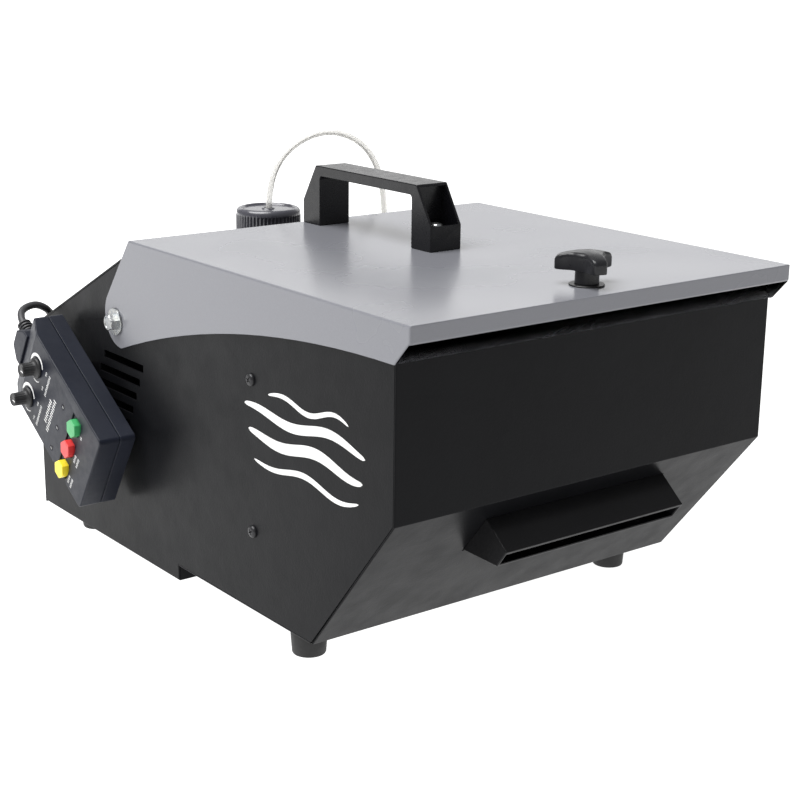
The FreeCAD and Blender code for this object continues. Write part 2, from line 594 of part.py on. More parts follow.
handle_bores = [rod("0", y, "lid_top - 1", "handle_screw_radius + bolt_fit", "pocket_floor + 3")
                for y in handle_screw_places]
sub_part("lid_handle", cut(handle_solid, handle_pocket("handle_front", "1"),
                           handle_pocket("handle_rear", "-1"), *handle_bores))


def handle_screw(y):
    return join(rod("0", y, "lid_top + pocket_floor + 0.02", "handle_screw_head", "handle_screw_head_height"),
                rod("0", y, "lid_top - sheet - 1.2", "handle_screw_radius", "pocket_floor + sheet + 2"))


handle_nuts = [cut(rod("0", y, "lid_top - sheet - 1.2", "handle_screw_head + 1", "1.18"),
                   rod("0", y, "lid_top - sheet - 3", "handle_screw_radius + bolt_fit", "4"))
               for y in handle_screw_places]
sub_part("handle_fasteners", *[handle_screw(y) for y in handle_screw_places], *handle_nuts)

# ---------------------------------------------------------------- lid knob

knob_low = "lid_top + knob_washer_thick + 2 * knob_gap"
lobe_low = f"{knob_low} + hub_height"
lobes = []
for step in range(3):
    lobe = rounded(block("0", "-knob_lobe", lobe_low, "knob_radius", "2 * knob_lobe", "knob_height"),
                   "knob_lobe_corner", upright)
    lobe.Placement.Rotation = FreeCAD.Rotation(
        FreeCAD.Vector(0, 0, 1), number("knob_first_turn") + 120 * step)
    place(lobe, "0", "knob_y", "0")
    lobes.append(lobe)
knob_body = join(rod("0", "knob_y", knob_low, "hub_radius", "hub_height + 1"),
                 rod("0", "knob_y", lobe_low, "knob_middle", "knob_height"), *lobes)
sub_part("lid_knob", cut(knob_body, rod("0", "knob_y", f"{knob_low} - 1", "knob_stud", "hub_height + 1")))
sub_part("lid_knob_stud", rod("0", "knob_y", "rim_z + 0.5", "knob_stud",
                              f"{knob_low} + hub_height - rim_z - 0.5"))
sub_part("lid_knob_washer", cut(
    rod("0", "knob_y", "lid_top + knob_gap", "knob_washer", "knob_washer_thick"),
    rod("0", "knob_y", "lid_top - 1", "knob_stud + bolt_fit", "5")))
sub_part("threaded_insert", cut(
    join(rod("0", "knob_y", "rim_z - insert_length", "insert_radius", "insert_length"),
         rod("0", "knob_y", "rim_z - sheet - 1.6", "insert_flange", "1.5")),
    rod("0", "knob_y", "rim_z - insert_length - 1", "knob_stud + bolt_fit", "insert_length + 2")))

# ---------------------------------------------------------------- fluid tank

tank_block = block("tank_x - tank_half", "tank_front", "pan_z + sheet", "2 * tank_half",
                   "tank_rear - tank_front", "tank_top - pan_z - sheet")
tank_block = rounded(tank_block, "tank_corner", upright)
tank_room = block("tank_x - tank_half + tank_wall", "tank_front + tank_wall", "pan_z + sheet + tank_wall",
                  "2 * (tank_half - tank_wall)", "tank_rear - tank_front - 2 * tank_wall",
                  "tank_top - pan_z - sheet - 2 * tank_wall")
tank_room = rounded(tank_room, "tank_corner - tank_wall", upright)
sub_part("fluid_tank", cut(
    join(tank_block, rod("tank_x", "tank_y", "tank_top - tank_wall", "neck_radius", "neck_top - tank_top")),
    tank_room, rod("tank_x", "tank_y", "tank_top - 5", "neck_bore", "neck_top - tank_top + 20")))
ribs = []
for step in range(36):
    turn = math.radians(10 * step)
    ribs.append(rod(f"tank_x + cap_radius * {math.cos(turn):.4f}",
                    f"tank_y + cap_radius * {math.sin(turn):.4f}",
                    "cap_bottom - 1", "cap_groove", "cap_top - cap_bottom - cap_edge"))
sub_part("tank_cap", cut(
    rounded(rod("tank_x", "tank_y", "cap_bottom", "cap_radius", "cap_top - cap_bottom"), "cap_edge",
            lambda edge: edge.BoundBox.ZMin > number("cap_top") - 0.1),
    rod("tank_x", "tank_y", "cap_bottom - 1", "neck_radius + cap_fit", "cap_top - cap_bottom - cap_wall + 1"),
    rod("tank_x", "tank_y", "cap_bottom", "tube_radius + tube_fit + 0.4", "cap_top - cap_bottom + 1"), *ribs))
sub_part("pickup_tube", cut(
    rod("tank_x", "tank_y", "pan_z + 8", "tube_radius", "neck_top - pan_z - 9.1"),
    rod("tank_x", "tank_y", "pan_z", "tube_radius - 0.8", "300")))
sub_part("tank_strap", cut(
    block("tank_x - tank_half - 1.4", "tank_front - 1.4", "70", "2 * tank_half + 2.8",
          "rear_y - sheet - tank_front + 1.3", "16"),
    block("tank_x - tank_half - 0.2", "tank_front - 0.2", "60", "2 * tank_half + 0.4", "200", "40")))

# ---------------------------------------------------------------- fog generator

heater_middle_x = "heater_x + heater_length / 2"
heater_middle_y = "heater_y + heater_width / 2"
post_places = ("heater_x + 14", "heater_x + heater_length - 14")
cover_box = [
    "heater_x - cover_gap", "heater_y - cover_gap", "heater_z - cover_gap",
    "heater_length + 2 * cover_gap", "heater_width + 2 * cover_gap", "heater_height + 2 * cover_gap",
]
cover_inside = [
    "heater_x - cover_gap + cover_thick", "heater_y - cover_gap + cover_thick",
    "heater_z - cover_gap + cover_thick", "heater_length + 2 * (cover_gap - cover_thick)",
    "heater_width + 2 * (cover_gap - cover_thick)", "heater_height + 2 * (cover_gap - cover_thick)",
]
heater_solid = rounded(block("heater_x", "heater_y", "heater_z", "heater_length", "heater_width",
                             "heater_height"), "3", lambda edge: True)
sub_part("heater_block", cut(heater_solid, rod(
    "pipe_x", "heater_y - 1", "pipe_z", "pipe_radius + bolt_fit", "13", "y")))
cover_ports = [
    rod("pipe_x", "heater_y - cover_gap - 1", "pipe_z", "pipe_radius + 0.3", "3", "y"),
    rod("heater_x + heater_length + 5", heater_middle_y, "pipe_z", "4", "8", "x"),
]
for x in post_places:
    cover_ports.append(rod(x, heater_middle_y, "heater_z - cover_gap - 1", "post_radius + 0.3", "4"))
sub_part("heater_cover", cut(block(*cover_box), block(*cover_inside), *cover_ports))
sub_part("heater_posts", *[
    rod(x, heater_middle_y, "pan_z + sheet", "post_radius", "heater_z - pan_z - sheet")
    for x in post_places])
sub_part("fog_pipe", cut(
    rod("pipe_x", "pipe_front", "pipe_z", "pipe_radius", "heater_y + 10 - pipe_front", "y"),
    rod("pipe_x", "pipe_front - 1", "pipe_z", "pipe_bore", "heater_y + 20 - pipe_front", "y")))
sub_part("thermostat", join(
    rod(heater_middle_x, heater_middle_y, "heater_z + heater_height", "8", "4"),
    rod(heater_middle_x, heater_middle_y, "heater_z + heater_height + 3", "5.5", "4")))
sub_part("pump", join(
    rod("pump_x", "pump_y", "pump_z", "pump_radius", "pump_length"),
    rod("pump_x", "pump_y", "pump_z - 8", "8", "9"),
    rod("pump_x", "pump_y", "pump_z + pump_length - 1", "5", "10")))
sub_part("pump_bracket", cut(
    join(block("pump_x - pump_radius - 5", "pump_y - pump_radius - 5", "pump_z + 12",
               "2 * pump_radius + 10", "2 * pump_radius + 10", "14"),
         block("pump_x + pump_radius + 3", "pump_y - 14", "pan_z + sheet", "2", "28",
               "pump_z + 14 - pan_z - sheet"),
         block("pump_x + pump_radius - 10", "pump_y - 14", "pan_z + sheet", "14", "28", "1.5")),
    rod("pump_x", "pump_y", "pump_z + 10", "pump_radius + bolt_fit", "30")))

# ---------------------------------------------------------------- electrics

board_parts = [block("board_x", "board_y", "board_z", "board_length", "board_width", "1.6")]
for x, y, wide, deep, tall in (("10", "10", "20", "16", "16"), ("34", "8", "12", "12", "22"),
                               ("50", "10", "22", "12", "12"), ("10", "31", "30", "9", "11"),
                               ("48", "30", "9", "9", "18"), ("62", "28", "10", "12", "9")):
    board_parts.append(block(f"board_x + {x}", f"board_y + {y}", "board_z + 1.5", wide, deep, tall))
for x in ("6", "board_length - 6"):
    for y in ("5", "board_width - 5"):
        board_parts.append(rod(f"board_x + {x}", f"board_y + {y}", "pan_z + sheet", "2.5",
                               "board_z - pan_z - sheet + 0.1"))
sub_part("control_board", join(*board_parts))

# The power inlet, switch, fuse and remote socket go through the rear panel.
inlet_front = "rear_y - 24"
inlet_pins = [block(f"inlet_x + {shift} * 7 - 1", "rear_y - 15", f"inlet_z - 3.5 + abs({shift}) * 1.5",
                    "2", "12", "4") for shift in (-1, 0, 1)]
sub_part("power_inlet", join(*inlet_pins, cut(
    join(block("inlet_x - inlet_half + 2.2", inlet_front, "inlet_z - inlet_height / 2 + 2.2",
               "2 * inlet_half - 4.4", "25", "inlet_height - 4.4"),
         block("inlet_x - inlet_half - 8", "rear_y + 0.02", "inlet_z - inlet_height / 2 - 2",
               "2 * inlet_half + 16", "2.6", "inlet_height + 4")),
    block("inlet_x - inlet_half + 4", "rear_y - 14", "inlet_z - inlet_height / 2 + 4",
          "2 * inlet_half - 8", "20", "inlet_height - 8"))))
sub_part("switch_frame", cut(
    join(block("inlet_x - switch_half + 1.7", "rear_y - 18", "switch_z - switch_height / 2 + 1.7",
               "2 * switch_half - 3.4", "19", "switch_height - 3.4"),
         block("inlet_x - switch_half", "rear_y + 0.02", "switch_z - switch_height / 2",
               "2 * switch_half", "2", "switch_height")),
    block("inlet_x - rocker_half - 0.3", "rear_y - 12", "switch_z - rocker_height / 2 - 1.4",
          "2 * rocker_half + 0.6", "20", "rocker_height + 2.8")))
rocker_corners = (
    ("-3", "-3"), ("6", "0.5 - rocker_height / 2"), ("9", "0.7 - rocker_height / 2"), ("8", "0"),
    ("9", "rocker_height / 2 - 0.7"), ("6", "rocker_height / 2 - 0.5"), ("-3", "3"))
rocker_profile = [
    (f"rear_y - rocker_depth + {out} * cos(rocker_lean) + ({up}) * sin(rocker_lean)",
     f"switch_z - {out} * sin(rocker_lean) + ({up}) * cos(rocker_lean)") for out, up in rocker_corners]
sub_part("power_rocker", join(
    prism("yz", rocker_profile, "inlet_x - rocker_half", "2 * rocker_half"),
    rod("inlet_x - rocker_half - rocker_pivot_end", "rear_y - rocker_depth", "switch_z", "rocker_pivot",
        "2 * (rocker_half + rocker_pivot_end)", "x")))
sub_part("fuse_holder", cut(
    join(rod("inlet_x", "rear_y - 22", "fuse_z", "fuse_radius", "24", "y"),
         rod("inlet_x", "rear_y + 0.02", "fuse_z", "fuse_cap_radius + 1.5", "2", "y")),
    rod("inlet_x", "rear_y - 20", "fuse_z", "fuse_radius - 1.5", "30", "y")))
sub_part("fuse_cap", cut(
    join(rod("inlet_x", "rear_y + fuse_cap_gap", "fuse_z", "fuse_cap_radius", "fuse_cap_depth", "y"),
         rod("inlet_x", "rear_y - 8", "fuse_z", "fuse_radius - 1.6", "11", "y")),
    block("inlet_x - fuse_cap_radius", "rear_y + 8", "fuse_z - 0.8", "2 * fuse_cap_radius", "4", "1.6")))
sub_part("remote_socket", cut(
    join(rod("socket_x", "rear_y - 14", "socket_z", "socket_radius - 1.6", "15", "y"),
         rod("socket_x", "rear_y + 0.02", "socket_z", "socket_radius + 2", "1.8", "y")),
    rod("socket_x", "rear_y - 12", "socket_z", "plug_radius - 0.9", "30", "y")))
sub_part("remote_plug", join(
    rod("socket_x", "rear_y - 6", "socket_z", "plug_radius - 1", "10", "y"),
    rod("socket_x", "rear_y + 2", "socket_z", "plug_radius", "plug_length - 12", "y"),
    taper("socket_x", "rear_y + plug_length - 10", "socket_z", "plug_radius", "cable_radius + 1.2", "10",
          "y")))
sub_part("transformer", join(
    block("core_x - 44", "core_y", "pan_z + sheet", "core_width + 8", "core_depth + 9.5", "2"),
    block("core_x - 40", "core_y + 5", "pan_z + sheet + 1.9", "core_width", "core_depth", "core_height"),
    block("core_x - 32", "core_y - 2", "pan_z + sheet + 8", "winding_width", "core_depth + 14",
          "core_height - 12")))

# ---------------------------------------------------------------- remote control

half_long = "remote_length / 2"
half_wide = "remote_width / 2"


def case_block(low, high, shrink):
    """The case's rounded outline between two depths, moved in by shrink all round."""
    slab = block(f"-{half_long} + ({shrink})", f"-{half_wide} + ({shrink})", low,
                 f"remote_length - 2 * ({shrink})", f"remote_width - 2 * ({shrink})", f"({high}) - ({low})")
    return rounded(slab, f"remote_corner - ({shrink})", upright)


def nose(low, high):
    """The block at the cable's end of the case: straight at first, then narrowing to the gland."""
    outline = [
        (f"{half_long} - 1", "-nose_half"), (f"{half_long} + nose_square", "-nose_half"),
        (f"{half_long} + nose_length", "-nose_tip_half"),
        (f"{half_long} + nose_length", "nose_tip_half"),
        (f"{half_long} + nose_square", "nose_half"), (f"{half_long} - 1", "nose_half"),
    ]
    return prism("xy", outline, low, f"({high}) - ({low})")


gland_bore = rod(f"{half_long} - remote_wall - 1", "0", "remote_back", "gland_tip", "nose_length + 8", "x")
back_solid = join(case_block("0", "remote_back - 0.1", "0"), nose("nose_low", "remote_back - 0.1"))
remote_screw_places = [(f"{along} * remote_screw_x", f"{across} * remote_screw_y")
                       for along in (-1, 1) for across in (-1, 1)]
screw_holes = []
for x, y in remote_screw_places:
    screw_holes.append(rod(x, y, "-1", "remote_screw_head + 0.1", "2.45"))
    screw_holes.append(rod(x, y, "-1", "remote_screw + bolt_fit", "6"))
sub_part("remote_back_shell", cut(
    back_solid, case_block("remote_wall", "remote_back + 1", "remote_wall"), gland_bore, *screw_holes),
    frame="remote")


shoulder = "(remote_depth - remote_slant_height)"


def front_shell_solid():
    """The front shell's outside: upright sides and a face that slopes down at the cable's end."""
    slope = prism("xz", [
        (f"{half_long} - remote_slant", "remote_depth"), (f"{half_long} + 1", shoulder),
        (f"{half_long} + 1", "remote_depth + 1"), (f"{half_long} - remote_slant", "remote_depth + 1"),
    ], f"{half_wide} + 1", "remote_width + 2")
    return cut(case_block("remote_back", "remote_depth", "0"), slope)


front_holes = []
for x, y in (("knob_one_x", "knob_one_y"), ("knob_two_x", "knob_two_y")):
    front_holes.append(rod(x, y, "remote_back", "dial_shaft + 0.3", "30"))
for step in range(3):
    y = f"button_first_y + {step} * button_pitch"
    front_holes.append(hexagon("button_x", y, "remote_back", "button_radius + 0.4", "30"))
    front_holes.append(rod("lamp_x", y, "remote_back", "lamp_radius + 0.05", "30"))
front_holes.append(block(
    "button_x - recess_width / 2", "button_first_y - recess_end", "remote_depth - recess_depth",
    "recess_width", "2 * (button_pitch + recess_end)", "recess_depth + 1"))
low_cavity = case_block("remote_back - 1", shoulder + " - remote_wall", "remote_wall")
high_cavity = block(
    f"remote_wall - {half_long}", f"remote_wall - {half_wide}", shoulder + " - remote_wall - 0.1",
    "remote_length - remote_slant - 2 * remote_wall", "remote_width - 2 * remote_wall",
    "remote_slant_height - recess_depth + 0.1")
sub_part("remote_front_shell", cut(
    join(front_shell_solid(), nose("remote_back", "nose_top")),
    low_cavity, high_cavity, gland_bore, *front_holes), frame="remote")

sub_part("remote_board", join(
    block("-46", "-27", "8", "92", "54", "1.6"),
    *[rod(x, y, "9", "5", "6") for x, y in (("knob_one_x", "knob_one_y"), ("knob_two_x", "knob_two_y"))],
    *[block("button_x - 3", f"button_first_y + {step} * button_pitch - 3", "9", "6", "6", "4.4")
      for step in range(3)]), frame="remote")


def dial(x, y):
    """A turning dial: a collar against the face, a grip above it and its shaft below."""
    low = "remote_depth + dial_gap"
    grip = rod(x, y, low, "dial_radius", "dial_height")
    collar = rod(x, y, low, "dial_collar", "dial_collar_height")
    pointer = block(x, f"({y}) - 0.5", "remote_depth + dial_height - 0.6", "dial_radius", "1", "2")
    shaft = rod(x, y, "15.3", "dial_shaft", "remote_depth - 14")
    return cut(join(grip, collar, shaft), pointer)


sub_part("interval_dial", dial("knob_one_x", "knob_one_y"), frame="remote")
sub_part("duration_dial", dial("knob_two_x", "knob_two_y"), frame="remote")
for step, colour in enumerate(("green", "red", "yellow")):
    y = f"button_first_y + {step} * button_pitch"
    sub_part(f"{colour}_button", join(
        hexagon("button_x", y, "remote_depth - 4", "button_radius", "button_height"),
        rod("button_x", y, "16.2", "2", "remote_depth - 19")), frame="remote")
sub_part("status_lamps", *[
    join(rod("lamp_x", f"button_first_y + {step} * button_pitch", "remote_depth - remote_wall - 1.6",
             "lamp_radius + 0.4", "0.4"),
         rod("lamp_x", f"button_first_y + {step} * button_pitch", "remote_depth - remote_wall - 1.3",
             "lamp_radius", "remote_wall + 1.6"))
    for step in range(3)], frame="remote")
gland_start = f"{half_long} + nose_length - 6"
gland_ribs = [rod(f"{half_long} + nose_length + {1.4 + 2.8 * step}", "0", "remote_back",
                  f"gland_base - {0.2 * step}", "1.5", "x") for step in range(4)]
sub_part("remote_gland", cut(join(
    rod(gland_start, "0", "remote_back", "gland_tip - bolt_fit", "8", "x"),
    taper(f"{half_long} + nose_length + 0.1", "0", "remote_back", "gland_base - 1", "gland_tip - 0.9",
          "gland_length - 0.1", "x"), *gland_ribs),
    rod(gland_start + " - 1", "0", "remote_back", "cable_radius + bolt_fit", "40", "x")), frame="remote")
sub_part("remote_screws", *[
    join(rod(x, y, "0", "remote_screw_head", "1.4"), rod(x, y, "1", "remote_screw", "9"))
    for x, y in remote_screw_places], frame="remote")
sub_part("remote_holder", join(
    block("-holder_half_long", "-holder_half_wide", "-remote_gap + 0.02", "2 * holder_half_long",
          "2 * holder_half_wide", "1.4"),
    *[block(start, "-holder_half_wide", "-remote_gap + 0.02", "holder_rib", "2 * holder_half_wide",
            "remote_gap - 0.4")
      for start in ("-holder_half_long", "holder_half_long - holder_rib")]), frame="remote")

# ---------------------------------------------------------------- cords

# Each route is the list of corners of a cord's path. The remote's cable leaves its gland, turns
# over the rear slope's edge, drops behind the casing and goes into a coil on the floor; its end
# rises from the coil to the plug. The fluid tube arches from the tank's cap to the rear slope.
CABLE_ROUTE = [
    (-164.0, 428.4, 152.2), (-164.0, 432.3, 154.6), (-160.7, 439.7, 158.9), (-153.4, 444.0, 160.9),
    (-146.4, 444.3, 161.5), (-140.1, 443.6, 158.5), (-134.8, 446.5, 153.9), (-127.0, 456.0, 141.0),
    (-122.5, 463.0, 119.0), (-119.0, 467.0, 88.0), (-114.0, 471.0, 56.0), (-106.0, 474.0, 34.0),
    (-92.0, 475.2, 20.0), (-72.0, 474.0, 14.8), (-56.0, 469.4, 14.1),
]
CABLE_END_ROUTE = [
    (-96.0, 475.5, 66.0), (-96.0, 490.0, 66.0), (-95.8, 503.0, 63.0), (-93.5, 513.0, 55.0),
    (-89.0, 519.0, 44.0), (-80.0, 524.0, 32.5), (-69.0, 528.0, 23.5), (-56.0, 530.6, 19.5),
]
TUBE_ROUTE = [
    (39.0, 420.0, 214.0), (40.0, 419.7, 237.0), (49.0, 416.6, 258.0), (65.5, 410.8, 272.0),
    (86.0, 403.8, 277.5), (106.5, 396.9, 270.5), (120.5, 392.2, 254.5), (127.0, 390.0, 232.0),
    (128.6, 389.4, 205.0), (128.8, 389.0, 171.0),
]


def cord(label, route, radius):
    """A round cord whose path is straight runs joined by tangent arcs."""
    corners = [FreeCAD.Vector(*corner) for corner in route]
    edges = []
    start = corners[0]
    radii = []
    for before, corner, after in zip(corners, corners[1:], corners[2:]):
        arriving = corner - before
        leaving = after - corner
        half_turn = arriving.getAngle(leaving) / 2
        reach = 0.45 * min(arriving.Length, leaving.Length)
        arc_radius = reach / math.tan(half_turn)
        radii.append(arc_radius)
        arriving.normalize()
        leaving.normalize()
        enter = corner - arriving * reach
        leave = corner + leaving * reach
        inward = (leaving - arriving).normalize()
        middle = corner + inward * (arc_radius / math.cos(half_turn) - arc_radius)
        edges.append(Part.LineSegment(start, enter).toShape())
        edges.append(Part.Arc(enter, middle, leave).toShape())
        start = leave
    edges.append(Part.LineSegment(start, corners[-1]).toShape())
    path = Part.Wire(edges)
    ring = Part.Wire(Part.Circle(corners[0], corners[1] - corners[0], number(radius)).toShape())
    pipe = Part.BRepOffsetAPI.MakePipeShell(path)
    pipe.add(ring)
    pipe.build()
    pipe.makeSolid()
    item = doc.addObject("Part::Feature", label)
    item.Label = label
    item.Shape = pipe.shape()
    place(item, "-origin_x", "-origin_y", "0")
    sub_parts.append(item)
    expected = math.pi * number(radius) ** 2 * path.Length
    print(f"{label}: length {path.Length:.1f}, radii {[round(size, 1) for size in radii]}, "
          f"volume over section times length {item.Shape.Volume / expected:.4f}")


cord("remote_cable", CABLE_ROUTE, "cable_radius")
cord("remote_cable_end", CABLE_END_ROUTE, "cable_radius")
cord("fluid_tube", TUBE_ROUTE, "tube_radius")
sub_part("remote_cable_coil", rounded(cut(
    rod("coil_x", "coil_y", "0", "coil_outer", "coil_height"),
    rod("coil_x", "coil_y", "-1", "coil_inner", "coil_height + 2")), "coil_height / 4", lambda edge: (
        isinstance(edge.Curve, Part.Circle))))


sub_part("tube_grommet", cut(
    join(on_slope(rod, "tube_x", "tube_y", "0.05", "grommet_radius", "2.6"),
         on_slope(rod, "tube_x", "tube_y", "-4", "grommet_radius - 2.1", "5")),
    rod("tube_x", "tube_y", "rear_z", "tube_radius + bolt_fit", "60")))

# ---------------------------------------------------------------- checks and export

doc.recompute()
broken = [item.Name for item in doc.Objects if {"Invalid", "Error"} & set(item.State)]
if broken:
    raise RuntimeError(f"objects failed: {broken}")
for item in sub_parts:
    if item.Shape.isNull() or not item.Shape.isValid() or not item.Shape.Solids:
        raise RuntimeError(f"{item.Label} has no valid solid")
    if any(solid.Volume <= 0 for solid in item.Shape.Solids):
        raise RuntimeError(f"{item.Label} has an inside-out solid")

os.makedirs("parts", exist_ok=True)
for item in sub_parts:
    item.Shape.exportStep(f"parts/{item.Label}.step")
    print(f"{item.Label}: {len(item.Shape.Solids)} solids, {item.Shape.Volume / 1000:.1f} cm3")
print(f"{len(sub_parts)} sub-parts")
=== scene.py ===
import math
import json
import random

import bmesh
import bpy
from mathutils import Matrix, Vector

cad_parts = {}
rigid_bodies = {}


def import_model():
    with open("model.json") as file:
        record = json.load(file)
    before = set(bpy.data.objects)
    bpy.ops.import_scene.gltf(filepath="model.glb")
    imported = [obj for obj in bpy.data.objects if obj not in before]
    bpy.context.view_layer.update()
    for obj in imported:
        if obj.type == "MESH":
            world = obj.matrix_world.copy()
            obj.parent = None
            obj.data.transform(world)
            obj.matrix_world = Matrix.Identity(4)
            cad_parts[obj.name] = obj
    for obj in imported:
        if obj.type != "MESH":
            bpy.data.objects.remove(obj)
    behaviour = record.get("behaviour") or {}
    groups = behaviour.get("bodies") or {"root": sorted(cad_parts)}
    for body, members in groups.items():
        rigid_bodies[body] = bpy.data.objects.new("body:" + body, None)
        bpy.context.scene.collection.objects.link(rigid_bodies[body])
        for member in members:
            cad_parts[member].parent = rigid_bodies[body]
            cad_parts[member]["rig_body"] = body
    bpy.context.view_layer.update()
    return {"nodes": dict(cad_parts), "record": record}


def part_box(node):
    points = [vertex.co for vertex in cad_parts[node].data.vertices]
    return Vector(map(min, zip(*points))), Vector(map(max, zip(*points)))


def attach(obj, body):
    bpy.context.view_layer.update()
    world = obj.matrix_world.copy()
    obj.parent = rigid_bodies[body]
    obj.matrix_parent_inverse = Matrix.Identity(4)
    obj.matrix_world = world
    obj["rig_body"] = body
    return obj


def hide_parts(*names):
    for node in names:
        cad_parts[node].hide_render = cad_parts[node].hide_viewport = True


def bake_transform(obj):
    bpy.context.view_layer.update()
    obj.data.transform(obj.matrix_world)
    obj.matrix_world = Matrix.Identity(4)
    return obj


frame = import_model()
random.seed(7)

# The scene is in metres, in the CAD row's frame. Pieces are drawn in millimetres and scaled by MM.
# FRONT is the lid's front face on the casing's middle plane at floor height, from which the
# casing is laid out.
MM = 0.001
lid_low, lid_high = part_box("lid")
FRONT = Vector(((lid_low.x + lid_high.x) / 2, lid_low.y, 0.0))


def at(x, y, z):
    """A place given in millimetres from FRONT."""
    return FRONT + Vector((x, y, z)) * MM


# ---------------------------------------------------------------- camera and light

def make_camera():
    eye = at(-644.5, -638.0, 417.6)
    forward = Vector((0.58722, 0.76317, -0.26969)).normalized()
    up = Vector((0.15535, 0.22073, 0.96288)).normalized()
    right = forward.cross(up).normalized()
    up = right.cross(forward)
    data = bpy.data.cameras.new("camera")
    data.sensor_width = 36.0
    data.lens = 73.49
    data.clip_end = 50.0
    camera = bpy.data.objects.new("camera", data)
    turn = Matrix((right, up, -forward)).transposed()
    camera.matrix_world = Matrix.Translation(eye) @ turn.to_4x4()
    bpy.context.scene.collection.objects.link(camera)
    bpy.context.scene.camera = camera


def area_light(name, place, target, size, power):
    data = bpy.data.lights.new(name, "AREA")
    data.shape = "RECTANGLE"
    data.size, data.size_y = size
    data.energy = power
    lamp = bpy.data.objects.new(name, data)
    lamp.location = place
    lamp.rotation_euler = (Vector(target) - Vector(place)).to_track_quat("-Z", "Y").to_euler()
    bpy.context.scene.collection.objects.link(lamp)


def make_studio():
    """A white sweep lit from high on the left, with a soft panel behind the object for its gloss."""
    bpy.context.scene.view_settings.view_transform = "Standard"
    world = bpy.data.worlds.new("studio")
    world.use_nodes = True
    background = world.node_tree.nodes["Background"]
    background.inputs["Color"].default_value = (1.0, 1.0, 1.0, 1.0)
    background.inputs["Strength"].default_value = 0.33
    bpy.context.scene.world = world
    data = bpy.data.lights.new("key", "SUN")
    data.energy = 5.0
    data.angle = math.radians(50.0)
    key = bpy.data.objects.new("key", data)
    key.rotation_euler = Vector((0.35, -0.12, -0.92)).to_track_quat("-Z", "Y").to_euler()
    bpy.context.scene.collection.objects.link(key)
    area_light("back_panel", place=(1.7, 2.2, 1.15), target=(0.0, 0.0, 0.2), size=(4.0, 1.1),
               power=15.0)
    mesh = bpy.data.meshes.new("floor")
    reach = 14.0
    corners = [(-reach, -reach, 0), (reach, -reach, 0), (reach, reach, 0), (-reach, reach, 0)]
    mesh.from_pydata(corners, [], [(0, 1, 2, 3)])
    floor = bpy.data.objects.new("floor", mesh)
    bpy.context.scene.collection.objects.link(floor)
    return floor


make_camera()
floor = make_studio()

# ---------------------------------------------------------------- materials

# Most of a noise's values lie between these two.
NOISE_LOW = 0.3
NOISE_HIGH = 0.7


class Finish:
    """A procedural material under construction: a Principled shader and the nodes that feed it."""

    def __init__(self, name, color, roughness, **shader):
        self.material = bpy.data.materials.new(name)
        self.material.use_nodes = True
        self.material.diffuse_color = (*color, 1.0)
        self.tree = self.material.node_tree
        self.shader = self.tree.nodes["Principled BSDF"]
        self.shader.inputs["Base Color"].default_value = (*color, 1.0)
        self.shader.inputs["Roughness"].default_value = roughness
        for socket, value in shader.items():
            self.shader.inputs[socket.replace("_", " ")].default_value = value
        self.color = color
        self.roughness = roughness
        self.height = None
        coordinates = self.tree.nodes.new("ShaderNodeTexCoord")
        self.place = coordinates.outputs["Object"]

    def link(self, source, target):
        self.tree.links.new(source, target)

    def stretched(self, scale):
        mapping = self.tree.nodes.new("ShaderNodeMapping")
        mapping.inputs["Scale"].default_value = scale
        self.link(self.place, mapping.inputs["Vector"])
        return mapping.outputs["Vector"]

    def noise(self, scale, detail=4.0, stretch=None):
        node = self.tree.nodes.new("ShaderNodeTexNoise")
        node.inputs["Scale"].default_value = scale
        node.inputs["Detail"].default_value = detail
        self.link(self.stretched(stretch) if stretch else self.place, node.inputs["Vector"])
        return node.outputs["Fac"]

    def spread(self, source, low, high):
        node = self.tree.nodes.new("ShaderNodeMapRange")
        node.inputs["From Min"].default_value = NOISE_LOW
        node.inputs["From Max"].default_value = NOISE_HIGH
        node.inputs["To Min"].default_value = low
        node.inputs["To Max"].default_value = high
        self.link(source, node.inputs["Value"])
        return node.outputs["Result"]

    def vary_color(self, source, amount, tint=None):
        """Shade the base colour up and down by amount where the source runs from dark to bright."""
        ramp = self.tree.nodes.new("ShaderNodeValToRGB")
        darker = [channel * (1 - amount) for channel in self.color]
        lighter = [min(1.0, channel * (1 + amount)) for channel in (tint or self.color)]
        ramp.color_ramp.elements[0].position = NOISE_LOW
        ramp.color_ramp.elements[1].position = NOISE_HIGH
        ramp.color_ramp.elements[0].color = (*darker, 1.0)
        ramp.color_ramp.elements[1].color = (*lighter, 1.0)
        self.link(source, ramp.inputs["Fac"])
        self.link(ramp.outputs["Color"], self.shader.inputs["Base Color"])
        return self

    def vary_roughness(self, source, amount):
        result = self.spread(source, self.roughness - amount, self.roughness + amount)
        self.link(result, self.shader.inputs["Roughness"])
        return self

    def bump(self, source, depth, strength=1.0):
        node = self.tree.nodes.new("ShaderNodeBump")
        node.inputs["Distance"].default_value = depth
        node.inputs["Strength"].default_value = strength
        self.link(source, node.inputs["Height"])
        if self.height:
            self.link(self.height, node.inputs["Normal"])
        self.height = node.outputs["Normal"]
        self.link(self.height, self.shader.inputs["Normal"])
        return self


def painted_steel():
    finish = Finish("black_steel", (0.0045, 0.0047, 0.0056), 0.34, Specular_IOR_Level=0.085)
    finish.vary_color(finish.noise(14.0), 0.12)
    finish.vary_roughness(finish.noise(60.0), 0.05)
    return finish.bump(finish.noise(900.0, 2.0), 0.00006).bump(finish.noise(120.0, 2.0), 0.00008)


